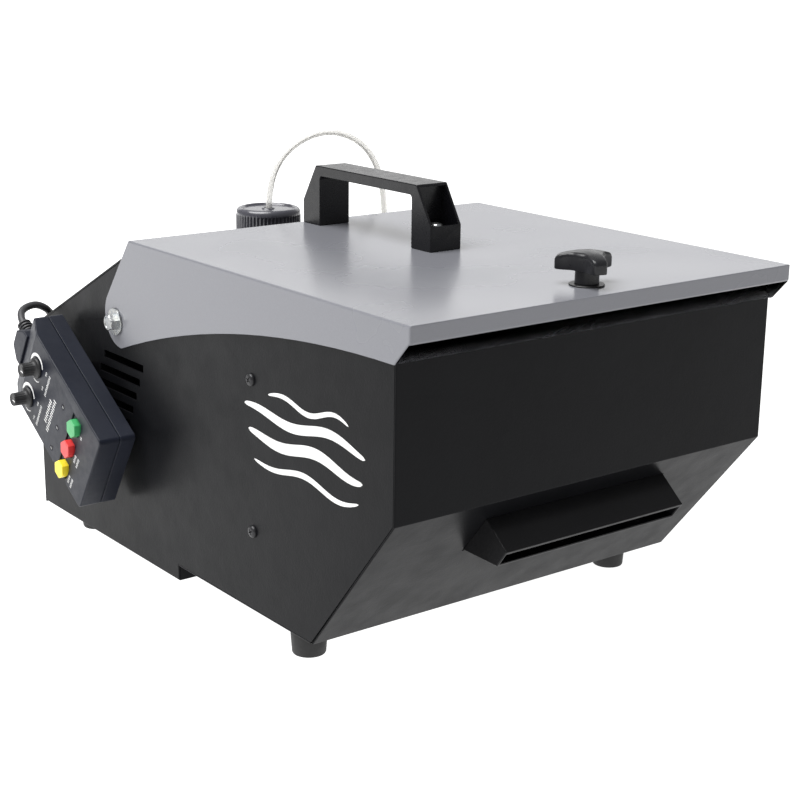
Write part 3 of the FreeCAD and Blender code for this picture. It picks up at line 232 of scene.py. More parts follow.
def silver_paint():
    finish = Finish("silver_paint", (0.178, 0.181, 0.199), 0.26, Specular_IOR_Level=0.35,
                    Coat_Weight=0.12, Coat_Roughness=0.12)
    finish.vary_color(finish.noise(2600.0, 2.0), 0.05)
    finish.vary_roughness(finish.noise(9.0), 0.04)
    return finish.bump(finish.noise(500.0, 2.0), 0.00002)


def bright_zinc():
    finish = Finish("zinc", (0.33, 0.35, 0.375), 0.30, Metallic=1.0)
    finish.vary_color(finish.noise(300.0), 0.12, tint=(0.38, 0.38, 0.36))
    finish.vary_roughness(finish.noise(700.0), 0.08)
    return finish.bump(finish.noise(1500.0), 0.00003)


def black_screw():
    finish = Finish("black_screw", (0.02, 0.02, 0.022), 0.36, Metallic=0.4)
    finish.vary_color(finish.noise(500.0), 0.3)
    return finish.bump(finish.noise(2000.0), 0.00003)


def brushed_steel():
    finish = Finish("steel", (0.58, 0.585, 0.59), 0.32, Metallic=1.0)
    grain = finish.noise(140.0, 6.0, stretch=(1.0, 30.0, 30.0))
    finish.vary_color(grain, 0.10)
    finish.vary_roughness(grain, 0.07)
    return finish.bump(grain, 0.00003)


def cast_aluminium():
    finish = Finish("aluminium", (0.70, 0.70, 0.71), 0.5, Metallic=1.0)
    finish.vary_color(finish.noise(60.0), 0.1)
    finish.vary_roughness(finish.noise(300.0), 0.08)
    return finish.bump(finish.noise(600.0), 0.0001)


def moulded(name, color, roughness, grain=1400.0, depth=0.00006, **shader):
    """Moulded plastic: a faint colour drift, uneven gloss and a fine grain."""
    finish = Finish(name, color, roughness, **shader)
    finish.vary_color(finish.noise(40.0), 0.10)
    finish.vary_roughness(finish.noise(220.0), 0.05)
    return finish.bump(finish.noise(grain, 3.0), depth)


def clear_plastic(name, color, roughness, transmission):
    finish = Finish(name, color, roughness, Transmission_Weight=transmission, IOR=1.42)
    finish.vary_roughness(finish.noise(120.0), 0.05)
    return finish.bump(finish.noise(90.0), 0.00005)


def circuit_laminate():
    finish = Finish("circuit_board", (0.03, 0.20, 0.08), 0.35)
    tracks = finish.tree.nodes.new("ShaderNodeTexBrick")
    tracks.inputs["Scale"].default_value = 160.0
    tracks.inputs["Mortar Size"].default_value = 0.06
    finish.link(finish.place, tracks.inputs["Vector"])
    tracks.inputs["Color1"].default_value = (0.02, 0.16, 0.06, 1.0)
    tracks.inputs["Color2"].default_value = (0.03, 0.22, 0.09, 1.0)
    tracks.inputs["Mortar"].default_value = (0.10, 0.34, 0.14, 1.0)
    finish.link(tracks.outputs["Color"], finish.shader.inputs["Base Color"])
    return finish.bump(tracks.outputs["Fac"], 0.00004)


FINISHES = {
    "black_steel": painted_steel(),
    "silver_paint": silver_paint(),
    "zinc": bright_zinc(),
    "black_screw": black_screw(),
    "steel": brushed_steel(),
    "aluminium": cast_aluminium(),
    "handle_plastic": moulded("handle_plastic", (0.0045, 0.0045, 0.0058), 0.28, depth=0.00001,
                              Specular_IOR_Level=0.34),
    "knob_plastic": moulded("knob_plastic", (0.010, 0.010, 0.012), 0.30, depth=0.00002,
                            Specular_IOR_Level=0.36),
    "duct_plastic": moulded("duct_plastic", (0.006, 0.006, 0.0068), 0.36, Specular_IOR_Level=0.2),
    "rubber": moulded("rubber", (0.012, 0.012, 0.012), 0.62, grain=900.0, depth=0.00010),
    "foam": moulded("foam", (0.03, 0.03, 0.032), 0.9, grain=700.0, depth=0.0004),
    "cap_plastic": moulded("cap_plastic", (0.050, 0.050, 0.062), 0.30, depth=0.00002, Coat_Weight=0.4),
    "tank_plastic": clear_plastic("tank_plastic", (0.86, 0.87, 0.84), 0.45, 0.35),
    "clear_tube": clear_plastic("clear_tube", (0.93, 0.92, 0.89), 0.18, 0.55),
    "grey_plastic": moulded("grey_plastic", (0.010, 0.012, 0.020), 0.44, grain=1800.0,
                            Specular_IOR_Level=0.24),
    "dial_plastic": moulded("dial_plastic", (0.010, 0.010, 0.011), 0.5),
    "green_plastic": moulded("green_plastic", (0.05, 0.36, 0.12), 0.34, depth=0.00003),
    "red_plastic": moulded("red_plastic", (0.62, 0.035, 0.035), 0.34, depth=0.00003),
    "yellow_plastic": moulded("yellow_plastic", (0.82, 0.66, 0.03), 0.34, depth=0.00003),
    "lamp": moulded("lamp", (0.02, 0.02, 0.022), 0.12, depth=0.00001, Coat_Weight=1.0),
    "circuit_board": circuit_laminate(),
    "cable_plastic": moulded("cable_plastic", (0.035, 0.035, 0.038), 0.5, grain=900.0),
    "black_plastic": moulded("black_plastic", (0.014, 0.014, 0.015), 0.4),
    "white_print": moulded("white_print", (0.80, 0.80, 0.79), 0.5, depth=0.00001),
}


def pale_sweep():
    """A pale floor that glows a little, as a lit sweep does, which keeps the shadows faint. It glows
    more towards the left and the rear, where the black side panel mirrors it."""
    pale = Finish("pale_floor", (0.2, 0.2, 0.2), 0.8, Specular_IOR_Level=0.1)
    pale.vary_roughness(pale.noise(3.0), 0.05)
    glow_place = pale.tree.nodes.new("ShaderNodeMapping")
    glow_place.inputs["Rotation"].default_value = (0.0, 0.0, math.radians(220.0))
    glow_place.inputs["Scale"].default_value = (1.25, 1.25, 1.25)
    glow_place.inputs["Location"].default_value = (0.375, 0.0, 0.0)
    pale.link(pale.place, glow_place.inputs["Vector"])
    glow = pale.tree.nodes.new("ShaderNodeTexGradient")
    pale.link(glow_place.outputs["Vector"], glow.inputs["Vector"])
    glow_range = pale.tree.nodes.new("ShaderNodeMapRange")
    glow_range.inputs["To Min"].default_value = 0.95
    glow_range.inputs["To Max"].default_value = 1.5
    pale.link(glow.outputs["Fac"], glow_range.inputs["Value"])
    pale.shader.inputs["Emission Color"].default_value = (1.0, 1.0, 1.0, 1.0)
    pale.link(glow_range.outputs["Result"], pale.shader.inputs["Emission Strength"])
    return pale.material


floor.data.materials.append(pale_sweep())


def give(piece, slot):
    """Give a piece the material that stands for a slot."""
    piece.data.materials.clear()
    piece.data.materials.append(FINISHES[slot].material)
    return piece


# ---------------------------------------------------------------- mesh tools

CASING = Matrix.Translation(FRONT) @ Matrix.Scale(MM, 4)
# The remote's own frame: x along it towards its cable, y across it, z away from the casing.
REMOTE_X = (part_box("remote_back_shell")[1].x - FRONT.x) / MM
REMOTE_Y = 355.0
REMOTE_Z = 106.3
TILT = math.radians(32.0)
REMOTE = CASING @ Matrix(((0.0, 0.0, -1.0, REMOTE_X),
                          (math.cos(TILT), math.sin(TILT), 0.0, REMOTE_Y),
                          (math.sin(TILT), -math.cos(TILT), 0.0, REMOTE_Z),
                          (0.0, 0.0, 0.0, 1.0)))
NODE_SLOTS = {part["node"]: part["material_slot"] for part in frame["record"]["subparts"]}


def body_of(node):
    return frame["nodes"][node]["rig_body"]


def settle(shape, place, name, node, slot=None, smooth=35.0, instead=True):
    """Make a piece from a bmesh in millimetres. It rides with a node's body and stands for the node."""
    bmesh.ops.transform(shape, matrix=place, verts=shape.verts)
    bmesh.ops.recalc_face_normals(shape, faces=shape.faces)
    for face in shape.faces:
        face.smooth = True
    mesh = bpy.data.meshes.new(name)
    shape.to_mesh(mesh)
    shape.free()
    mesh.set_sharp_from_angle(angle=math.radians(smooth))
    piece = bpy.data.objects.new(name, mesh)
    bpy.context.scene.collection.objects.link(piece)
    give(piece, slot or NODE_SLOTS[node])
    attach(piece, body_of(node))
    if instead:
        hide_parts(node)
    return piece


def apply_modifiers(piece):
    graph = bpy.context.evaluated_depsgraph_get()
    mesh = bpy.data.meshes.new_from_object(piece.evaluated_get(graph))
    piece.modifiers.clear()
    piece.data = mesh


def join_rings(shape, rings, closed=False):
    """Skin rings of equal length, each a loop of points; closed also joins the last to the first."""
    loops = [[shape.verts.new(point) for point in ring] for ring in rings]
    pairs = list(zip(loops, loops[1:]))
    if closed:
        pairs.append((loops[-1], loops[0]))
    for one, two in pairs:
        for step in range(len(one)):
            after = (step + 1) % len(one)
            shape.faces.new((one[step], one[after], two[after], two[step]))
    if not closed:
        shape.faces.new(list(reversed(loops[0])))
        shape.faces.new(loops[-1])
    return shape


def turned(profile, steps=48, radius=None, closed=False, axis=None):
    """A turned shape from (radius, height) points, which radius(r, angle, height) may vary."""
    rings = []
    for across, up in profile:
        ring = []
        for step in range(steps):
            angle = 2 * math.pi * step / steps
            reach = radius(across, angle, up) if radius else across
            ring.append(Vector((reach * math.cos(angle), reach * math.sin(angle), up)))
        rings.append(ring)
    shape = join_rings(bmesh.new(), rings, closed)
    if axis:
        bmesh.ops.transform(shape, matrix=axis, verts=shape.verts)
    return shape


def standing(x, y, z, direction=(0, 0, 1)):
    """A frame at a place whose Z points along a direction."""
    turn = Vector((0.0, 0.0, 1.0)).rotation_difference(Vector(direction)).to_matrix().to_4x4()
    return Matrix.Translation((x, y, z)) @ turn


def add_shape(shape, other, place=None):
    """Add a copy of one bmesh to another, and free it."""
    if place:
        bmesh.ops.transform(other, matrix=place, verts=other.verts)
    mesh = bpy.data.meshes.new("scrap")
    other.to_mesh(mesh)
    other.free()
    shape.from_mesh(mesh)
    bpy.data.meshes.remove(mesh)
    return shape


def extruded(outline, low, high):
    """A prism from an outline of (x, y) points between two heights."""
    return join_rings(bmesh.new(), [[Vector((x, y, z)) for x, y in outline] for z in (low, high)])


# A face of this many square metres or more stays flat on a sheet that keeps its small faces.
BROAD_FACE = 4e-6
# Points closer than this, in metres, are one point.
WELD = 2e-6
# Thin sheets full of holes keep the CAD's own small faces.
WHOLE_FACES = ("left_side_panel", "right_side_panel", "rear_cover", "rear_panel")


def soften(piece, fold, share=0.3, segments=3, angle=24.0, flat=False):
    """Round a piece's outward edges, by fold or by a share of a thin face's breadth if that is less."""
    shape = bmesh.new()
    shape.from_mesh(piece.data)
    weight = shape.edges.layers.float.new("bevel_weight_edge")
    for edge in shape.edges:
        if len(edge.link_faces) != 2 or not edge.is_convex:
            continue
        if edge.calc_face_angle(0.0) < math.radians(angle):
            continue
        breadth = min(face.calc_area() for face in edge.link_faces) / max(edge.calc_length(), 1e-9)
        edge[weight] = min(1.0, share * breadth / fold)
    shape.to_mesh(piece.data)
    shape.free()
    bevel = piece.modifiers.new("soft_edges", "BEVEL")
    bevel.limit_method = "WEIGHT"
    bevel.width = fold
    bevel.segments = segments
    bevel.use_clamp_overlap = False
    bevel.harden_normals = not flat
    apply_modifiers(piece)
    if flat:
        for face in piece.data.polygons:
            face.use_smooth = face.area < BROAD_FACE


def softened(node, fold, segments=3):
    """A copy of a CAD node with its outward edges rounded, which takes the node's place."""
    shape = bmesh.new()
    shape.from_mesh(frame["nodes"][node].data)
    bmesh.ops.remove_doubles(shape, verts=shape.verts, dist=WELD)
    if node not in WHOLE_FACES:
        bmesh.ops.dissolve_limit(shape, angle_limit=math.radians(0.5), verts=shape.verts,
                                 edges=shape.edges)
    piece = settle(shape, Matrix.Identity(4), "fine_" + node, node)
    soften(piece, fold * MM, segments=segments, flat=node in WHOLE_FACES)
    return piece


# ---------------------------------------------------------------- cords

# The routes repeat the CAD's corners, in metres from FRONT.
CABLE_ROUTE = [
    (-0.1640, 0.4284, 0.1522), (-0.1640, 0.4323, 0.1546), (-0.1607, 0.4397, 0.1589),
    (-0.1534, 0.4440, 0.1609), (-0.1464, 0.4443, 0.1615), (-0.1401, 0.4436, 0.1585),
    (-0.1348, 0.4465, 0.1539), (-0.1270, 0.4560, 0.1410), (-0.1225, 0.4630, 0.1190),
    (-0.1190, 0.4670, 0.0880), (-0.1140, 0.4710, 0.0560), (-0.1060, 0.4740, 0.0340),
    (-0.0920, 0.4752, 0.0200), (-0.0720, 0.4740, 0.0148), (-0.0560, 0.4694, 0.0141),
]
CABLE_END_ROUTE = [
    (-0.0960, 0.4755, 0.0660), (-0.0960, 0.4900, 0.0660), (-0.0958, 0.5030, 0.0630),
    (-0.0935, 0.5130, 0.0550), (-0.0890, 0.5190, 0.0440), (-0.0800, 0.5240, 0.0325),
    (-0.0690, 0.5280, 0.0235), (-0.0560, 0.5306, 0.0195),
]
TUBE_ROUTE = [
    (0.0390, 0.4200, 0.2140), (0.0400, 0.4197, 0.2370), (0.0490, 0.4166, 0.2580),
    (0.0655, 0.4108, 0.2720), (0.0860, 0.4038, 0.2775), (0.1065, 0.3969, 0.2705),
    (0.1205, 0.3922, 0.2545), (0.1270, 0.3900, 0.2320), (0.1286, 0.3894, 0.2050),
    (0.1288, 0.3890, 0.1710),
]
CABLE_DIAMETER = 0.0054
TUBE_DIAMETER = 0.0048
# The coil's middle column of turns, the pitch of its turns, and its gap to the floor.
COIL_RADIUS = 0.0264
COIL_PITCH = CABLE_DIAMETER * 1.045
COIL_GAP = 0.0002


def coil_points():
    """The coil's turns, wound column by column between where the cable arrives and where it leaves."""
    coil_low, coil_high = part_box("remote_cable_coil")
    middle = (coil_low + coil_high) / 2
    radii = [COIL_RADIUS + column * COIL_PITCH for column in (-1, 0, 1)]
    heights = [CABLE_DIAMETER / 2 + COIL_GAP + layer * COIL_PITCH for layer in range(4)]
    # Each pair is a column, from the inside out, and a layer, from the floor up.
    tracks = [(2, 2), (2, 1), (2, 0), (1, 0), (0, 0), (0, 1),
              (1, 1), (1, 2), (0, 2), (0, 3), (1, 3), (2, 3)]
    arrival = FRONT + Vector(CABLE_ROUTE[-1]) - middle
    leaving = FRONT + Vector(CABLE_END_ROUTE[-1]) - middle
    first = math.atan2(arrival.y, arrival.x)
    first_shift = math.radians(280.0)
    last = math.atan2(leaving.y, leaving.x)
    whole_turns = len(tracks) - 2
    span = whole_turns * 2 * math.pi + (last - first) % (2 * math.pi)
    # Each track ends a little short of a full turn, so that two shifts never meet.
    between = (span - first_shift) / (len(tracks) - 1)
    shift = 2 * math.pi - between
    points = []
    step_angle = math.radians(15.0)
    steps = int(span / step_angle)
    for step in range(1, steps):
        along = span * step / steps
        number = 0
        part = 0.0
        if along > first_shift:
            number, part = divmod(along - first_shift, between)
            number = int(number) + 1
            part = min(1.0, part / shift)
        here = tracks[min(number, len(tracks) - 1)]
        before = tracks[max(number - 1, 0)]
        ease = part * part * (3 - 2 * part) if number else 1.0
        radius = radii[before[0]] * (1 - ease) + radii[here[0]] * ease
        height = heights[before[1]] * (1 - ease) + heights[here[1]] * ease
        angle = first + along
        points.append(Vector((middle.x + radius * math.cos(angle),
                              middle.y + radius * math.sin(angle), height)))
    return points


def spline(name, points, resolution):
    curve = bpy.data.curves.new(name, "CURVE")
    curve.dimensions = "3D"
    curve.resolution_u = resolution
    line = curve.splines.new("NURBS")
    line.points.add(len(points) - 1)
    for knot, point in zip(line.points, points):
        knot.co = (*point, 1.0)
    line.order_u = 3
    line.use_endpoint_u = True
    piece = bpy.data.objects.new(name, curve)
    bpy.context.scene.collection.objects.link(piece)
    return piece


def path_of(points, resolution):
    """The points that a cord's own smooth line runs through."""
    piece = spline("line", points, resolution)
    bpy.context.view_layer.update()
    mesh = bpy.data.meshes.new_from_object(piece)
    line = [vertex.co.copy() for vertex in mesh.vertices]
    bpy.data.meshes.remove(mesh)
    bpy.data.objects.remove(piece)
    return line


def round_tube(line, radius, steps):
    """A tube along a line of points, with no twist."""
    rings = []
    side = Vector((0.0, 0.0, 1.0)).cross(line[1] - line[0])
    if side.length < 1e-6:
        side = Vector((1.0, 0.0, 0.0))
    for number, point in enumerate(line):
        ahead = line[min(number + 1, len(line) - 1)] - line[max(number - 1, 0)]
        ahead.normalize()
        side = (side - ahead * side.dot(ahead)).normalized()
        up = ahead.cross(side)
        rings.append([point + (side * math.cos(turn) + up * math.sin(turn)) * radius
                      for turn in (2 * math.pi * step / steps for step in range(steps))])
    return join_rings(bmesh.new(), rings)


def line_length(line):
    return sum((two - one).length for one, two in zip(line, line[1:]))


def make_remote_cable():
    points = [FRONT + Vector(point) for point in CABLE_ROUTE]
    points += coil_points()
    points += [FRONT + Vector(point) for point in reversed(CABLE_END_ROUTE)]
    line = path_of(points, 5)
    shape = round_tube(line, CABLE_DIAMETER / 2, 12)
    mesh = bpy.data.meshes.new("timer_cable")
    for face in shape.faces:
        face.smooth = True
    shape.to_mesh(mesh)
    shape.free()
    cable = bpy.data.objects.new("timer_cable", mesh)
    bpy.context.scene.collection.objects.link(cable)
    give(cable, "cable_plastic")
    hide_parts("remote_cable", "remote_cable_coil", "remote_cable_end")
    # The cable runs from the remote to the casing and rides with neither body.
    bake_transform(cable)


def make_fluid_tube():
    points = [FRONT + Vector(point) for point in TUBE_ROUTE]
    tube = spline("fluid_hose", points, 16)
    tube.data.bevel_depth = TUBE_DIAMETER / 2
    tube.data.bevel_resolution = 6
    tube.data.use_fill_caps = True
    tube.data.materials.append(FINISHES["clear_tube"].material)
    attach(tube, "casing")
    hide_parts("fluid_tube")
    line_length(path_of(points, 16))


# ---------------------------------------------------------------- fasteners

def cross_cutter(reach, width, top, depth):
    """A tapered cross that sinks into a screw's head from above."""
    half = width / 2
    taper = 0.55
    above = 1.0
    outline = [(half, half), (half, reach), (-half, reach), (-half, half),
               (-reach, half), (-reach, -half), (-half, -half), (-half, -reach),
               (half, -reach), (half, -half), (reach, -half), (reach, half)]
    rings = [[Vector((x, y, top + above)) for x, y in outline],
             [Vector((x * taper, y * taper, top - depth)) for x, y in outline]]
    return join_rings(bmesh.new(), rings)


def carve(shape, cutter):
    """Take one closed bmesh out of another, and free both."""
    pieces = []
    for part in (shape, cutter):
        bmesh.ops.recalc_face_normals(part, faces=part.faces)
        mesh = bpy.data.meshes.new("part")
        part.to_mesh(mesh)
        part.free()
        piece = bpy.data.objects.new("part", mesh)
        bpy.context.scene.collection.objects.link(piece)
        pieces.append(piece)
    body, tool = pieces
    difference = body.modifiers.new("carve", "BOOLEAN")
    difference.object = tool
    difference.operation = "DIFFERENCE"
    difference.solver = "EXACT"
    apply_modifiers(body)
    result = bmesh.new()
    result.from_mesh(body.data)
    for piece in pieces:
        bpy.data.objects.remove(piece)
    return result


def pan_screw(head, height, shank, length):
    """A cross-recessed pan-head screw whose head sits on z = 0, with its shank below."""
    profile = [(0.01, -length), (shank * 0.6, -length), (shank, -length + shank * 0.6), (shank, 0.0),
               (head, 0.0), (head, height * 0.30), (head * 0.96, height * 0.52),
               (head * 0.86, height * 0.74), (head * 0.68, height * 0.90),
               (head * 0.40, height * 0.98), (0.01, height)]
    return carve(turned(profile, 40), cross_cutter(head * 0.62, head * 0.26, height, height * 0.62))


def hex_reach(flats, angle):
    """The distance from a hexagon's middle to its side; flats is half its width over flats."""
    sector = math.pi / 3
    return flats / math.cos((angle + sector / 2) % sector - sector / 2)


def hex_head(flats, height, shank, length):
    """A chamfered hexagon head on z = 0 with its shank below."""
    corner = flats / math.cos(math.pi / 6)

    def reach(across, angle, up):
        return min(across, hex_reach(flats, angle)) if up >= 0.0 else across

    dish = 0.35
    profile = [(0.01, -length), (shank, -length), (shank, -0.001), (corner, 0.0),
               (corner, height * 0.72), (corner * 0.97, height * 0.86), (flats * 0.96, height),
               (flats * 0.80, height), (flats * 0.74, height - dish), (0.01, height - dish)]
    return turned(profile, 72, reach)


def hex_nut(bore, flats, corner, low, high, tall):
    """A hexagon nut from z = 0 up to tall, chamfered below low and above high."""
    profile = [(bore, 0.0), (flats, 0.0), (corner, low), (corner, high), (flats, tall), (bore, tall)]
    return turned(profile, 72, lambda across, angle, up: min(across, hex_reach(flats, angle)),
                  closed=True)


def washer(outer, inner, thick):
    edge = 0.2
    profile = [(inner, edge), (inner + edge, 0.0), (outer - edge, 0.0), (outer, edge),
               (outer, thick - edge), (outer - edge, thick), (inner + edge, thick),
               (inner, thick - edge)]
    return turned(profile, 64, closed=True)


# Half the casing's width, and the thickness of its side panels.
BODY_HALF = 146.0
SHEET = 1.2
# Places of the side screws and of the hinge, each as (y, z).
SIDE_SCREWS = [(154.5, 168.0), (154.5, 72.7)]
HINGE = (318.9, 172.4)
HINGE_WASHER_X = 147.9
HINGE_WASHER_THICK = 1.3
HINGE_NUT_TALL = 4.8
# The two screws on each edge of the rear slope.
COVER_SCREW_INSET = 7.0
COVER_SCREWS_Y = (344.0, 420.0)
# Each pair of feet as (y, height of the foot's top, height of its screw's seat).
FOOT_X = 126.5
FEET = [(123.3, 21.0, 9.0), (400.0, 10.0, 4.5)]
# The outer face of the power inlet's flange, and the inlet's middle.
INLET_FACE_Y = 445.5 + 2.64
INLET_X = 112.0
INLET_Z = 44.0
INLET_SCREW_REACH = 18.5
# The rear slope's top and foot, each as (y, z).
SLOPE_TOP = Vector((290.8, 226.5))
SLOPE_FOOT = Vector((445.5, 148.0))
SLOPE_NORMAL = Vector((0.0, SLOPE_TOP.y - SLOPE_FOOT.y, SLOPE_FOOT.x - SLOPE_TOP.x)).normalized()


def on_slope(x, y):
    """A frame on the rear slope whose Z points away from it."""
    share = (y - SLOPE_TOP.x) / (SLOPE_FOOT.x - SLOPE_TOP.x)
    z = SLOPE_TOP.y + share * (SLOPE_FOOT.y - SLOPE_TOP.y)
    return standing(x, y, z, SLOPE_NORMAL)


def make_panel_screws():
    shape = bmesh.new()
    grip = 4.0
    for side in (-1, 1):
        places = [standing(side * BODY_HALF, y, z, (side, 0, 0)) for y, z in SIDE_SCREWS]
        places += [on_slope(side * (BODY_HALF - COVER_SCREW_INSET), y) for y in COVER_SCREWS_Y]
        for place in places:
            turn = Matrix.Rotation(random.uniform(0, math.pi), 4, "Z")
            add_shape(shape, pan_screw(head=3.9, height=2.2, shank=2.0, length=6.5), place @ turn)
        for y, top, recess in FEET:
            screw = pan_screw(head=3.9, height=2.4, shank=2.0, length=top - recess + grip)
            add_shape(shape, screw, standing(side * FOOT_X, y, recess, (0, 0, -1)))
        screw = pan_screw(head=2.8, height=1.2, shank=1.4, length=2.0)
        x = INLET_X + side * INLET_SCREW_REACH
        add_shape(shape, screw, standing(x, INLET_FACE_Y, INLET_Z, (0, 1, 0)))
    settle(shape, CASING, "fine_panel_screws", "panel_screws")


def make_hinge_fasteners():
    shape = bmesh.new()
    y, z = HINGE
    for side in (-1, 1):
        outward = (side, 0, 0)
        tilt = Matrix.Rotation(math.radians(18.0), 4, "Z")
        head_x = HINGE_WASHER_X + HINGE_WASHER_THICK
        add_shape(shape, hex_head(flats=5.0, height=5.0, shank=3.0, length=11.0),
                  standing(side * head_x, y, z, outward) @ tilt)
        add_shape(shape, washer(outer=9.2, inner=3.05, thick=HINGE_WASHER_THICK),
                  standing(side * HINGE_WASHER_X, y, z, outward))
        nut_x = BODY_HALF - SHEET - HINGE_NUT_TALL
        nut = hex_nut(bore=3.05, flats=5.0, corner=5.7, low=0.5, high=4.3, tall=HINGE_NUT_TALL)
        add_shape(shape, nut, standing(side * nut_x, y, z, outward))
    settle(shape, CASING, "fine_hinge_fasteners", "hinge_fasteners")


def make_feet():
    shape = bmesh.new()
    for side in (-1, 1):
        for y, top, recess in FEET:
            profile = [(2.05, recess), (5.0, recess), (5.0, 0.9), (5.4, 0.2), (6.0, 0.0), (9.4, 0.0),
                       (10.1, 0.3), (10.5, 1.0), (11.2, top * 0.5), (11.9, top - 0.9),
                       (11.8, top - 0.3), (11.3, top), (2.05, top)]
            foot = turned(profile, 64, closed=True)
            add_shape(shape, foot, standing(side * FOOT_X, y, 0.0))
    settle(shape, CASING, "fine_feet", "feet")


# ---------------------------------------------------------------- lid pieces

LID_UNDERSIDE = 227.0
LID_TOP = 230.1
KNOB_Y = 25.5
KNOB_LOW = 231.0
KNOB_REACH = 19.2
KNOB_TURN = math.radians(130.0)


def knob_outline(angle):
    """The clamping knob's reach at an angle: three blunt arms with hollow sides between them."""
    third = 2 * math.pi / 3
    off = (angle - KNOB_TURN) % third
    off = min(off, third - off)
    # An arm's flank runs beside its middle line, and flares out into the hub.
    arm_half = 4.9
    arm_limit = 24.0
    hub = 9.3
    flank = arm_half / max(math.sin(off), 0.001)
    end = KNOB_REACH / math.cos(off)
    arm = (flank ** -7 + end ** -7 + arm_limit ** -7) ** (-1 / 7)
    return min((arm ** 5 + hub ** 5) ** 0.2, KNOB_REACH)


def make_lid_knob():
    hub = 7.1
    low = 8.0
    top = 19.0
    bore = 3.05
    bore_top = top - 8.0
    crown = 3.6
    edge = 2.4
    edge_steps = 7
    crown_steps = 16
    steps = 180
    turns = [2 * math.pi * step / steps for step in range(steps)]

    def ring(reach, height):
        return [Vector((reach(turn) * math.cos(turn), reach(turn) * math.sin(turn), height(reach(turn))))
                for turn in turns]

    rings = [ring(lambda turn, size=size: size, lambda far, up=up: up) for size, up in (
        (0.3, bore_top), (bore, bore_top), (bore, 0.0), (hub, 0.0), (hub + 0.1, 0.3), (hub, 0.8),
        (hub - 0.1, 7.4), (hub + 0.4, low))]
    for inset, up in ((0.9, low), (0.25, low + 0.2), (0.0, low + 0.8), (0.0, 11.0)):
        rings.append(ring(lambda turn, inset=inset: knob_outline(turn) - inset, lambda far, up=up: up))
    # The crown falls gently from the middle to the arms' ends, and turns down over a rounded edge.
    for step in range(edge_steps + 1):
        bend = math.pi / 2 * step / edge_steps
        inset = edge * (1 - math.cos(bend))
        drop = edge * (1 - math.sin(bend))
        rings.append(ring(lambda turn, inset=inset: knob_outline(turn) - inset,
                          lambda far, drop=drop: top - crown * (far / KNOB_REACH) ** 2 - drop))
    for step in range(1, crown_steps):
        share = 1 - step / crown_steps
        rings.append(ring(lambda turn, share=share: share * (knob_outline(turn) - edge),
                          lambda far: top - crown * (far / KNOB_REACH) ** 2))
    settle(join_rings(bmesh.new(), rings), CASING @ standing(0.0, KNOB_Y, KNOB_LOW), "fine_lid_knob",
           "lid_knob", smooth=40)


def make_knob_stud():
    pitch = 1.0
    length = 11.7
    profile = [(0.01, 0.0), (2.2, 0.0)]
    turns = int(length / pitch)
    for step in range(turns):
        low = 0.3 + step * pitch
        profile += [(2.55, low), (2.95, low + 0.4), (2.95, low + 0.55)]
    profile += [(2.6, length), (0.01, length)]
    settle(turned(profile, 32), CASING @ standing(0.0, KNOB_Y, LID_UNDERSIDE), "fine_lid_knob_stud",
           "lid_knob_stud")


def make_knob_washer():
    shape = washer(outer=10.4, inner=3.05, thick=0.8)
    settle(shape, CASING @ standing(0.0, KNOB_Y, LID_TOP), "fine_lid_knob_washer", "lid_knob_washer")


def make_handle_fasteners():
    shape = bmesh.new()
    pocket_floor = 243.52
    nut_low = 227.6
    for y in (164.1, 285.9):
        screw = pan_screw(head=4.4, height=3.2, shank=2.5, length=16.7)
        add_shape(shape, screw, standing(0.0, y, pocket_floor))
        nut = hex_nut(bore=2.55, flats=4.6, corner=5.4, low=0.3, high=0.9, tall=1.18)
        add_shape(shape, nut, standing(0.0, y, nut_low))
    settle(shape, CASING, "fine_handle_fasteners", "handle_fasteners")


# ---------------------------------------------------------------- tank pieces

TANK_X = 39.0
TANK_Y = 420.0
GROMMET_X = 128.8
GROMMET_Y = 389.0


def make_tank_cap():
    ribs = 54
    rib_low = 191.0
    rib_high = 214.6
    rib_depth = 0.75

    def ribbed(across, angle, up):
        depth = rib_depth if rib_low < up < rib_high and across > 23.0 else 0.0
        wave = (1 + math.cos(ribs * angle)) / 2
        return across - depth * wave ** 0.7

    profile = [(20.4, 190.0), (24.4, 190.0), (25.0, 190.5), (25.0, 191.6), (25.0, 200.0), (25.0, 208.0),
               (25.0, 214.4), (24.9, 215.2), (24.6, 217.2), (23.9, 218.7), (22.8, 219.6), (21.4, 220.0),
               (20.2, 219.8), (19.6, 219.1), (19.2, 218.6), (12.0, 218.5), (5.2, 218.5), (4.6, 219.3),
               (3.6, 219.5), (3.1, 219.0), (3.1, 217.5), (20.4, 217.5), (20.4, 204.0)]
    shape = turned(profile, ribs * 8, ribbed, closed=True)
    settle(shape, CASING @ Matrix.Translation((TANK_X, TANK_Y, 0.0)), "fine_tank_cap", "tank_cap",
           smooth=40)


def make_grommet():
    profile = [(2.45, -3.9), (4.9, -3.9), (4.9, 0.1), (6.4, 0.1), (7.0, 0.6), (6.9, 1.6), (6.2, 2.4),
               (5.0, 2.65), (3.2, 2.65), (2.45, 2.2)]
    shape = turned(profile, 48, closed=True)
    lean = Matrix.Rotation(math.atan2(SLOPE_NORMAL.y, SLOPE_NORMAL.z), 4, "X")
    steepness = 1.12
    # The hole follows the hose, which stands upright, so the wide faces lean with the slope instead.
    for vertex in shape.verts:
        tilt = lean.inverted() @ Vector((0.0, vertex.co.y, 0.0))
        vertex.co.z += tilt.z * steepness
    place = Matrix.Translation(on_slope(GROMMET_X, GROMMET_Y).translation)
    settle(shape, CASING @ place, "fine_tube_grommet", "tube_grommet")


# ---------------------------------------------------------------- ice rack

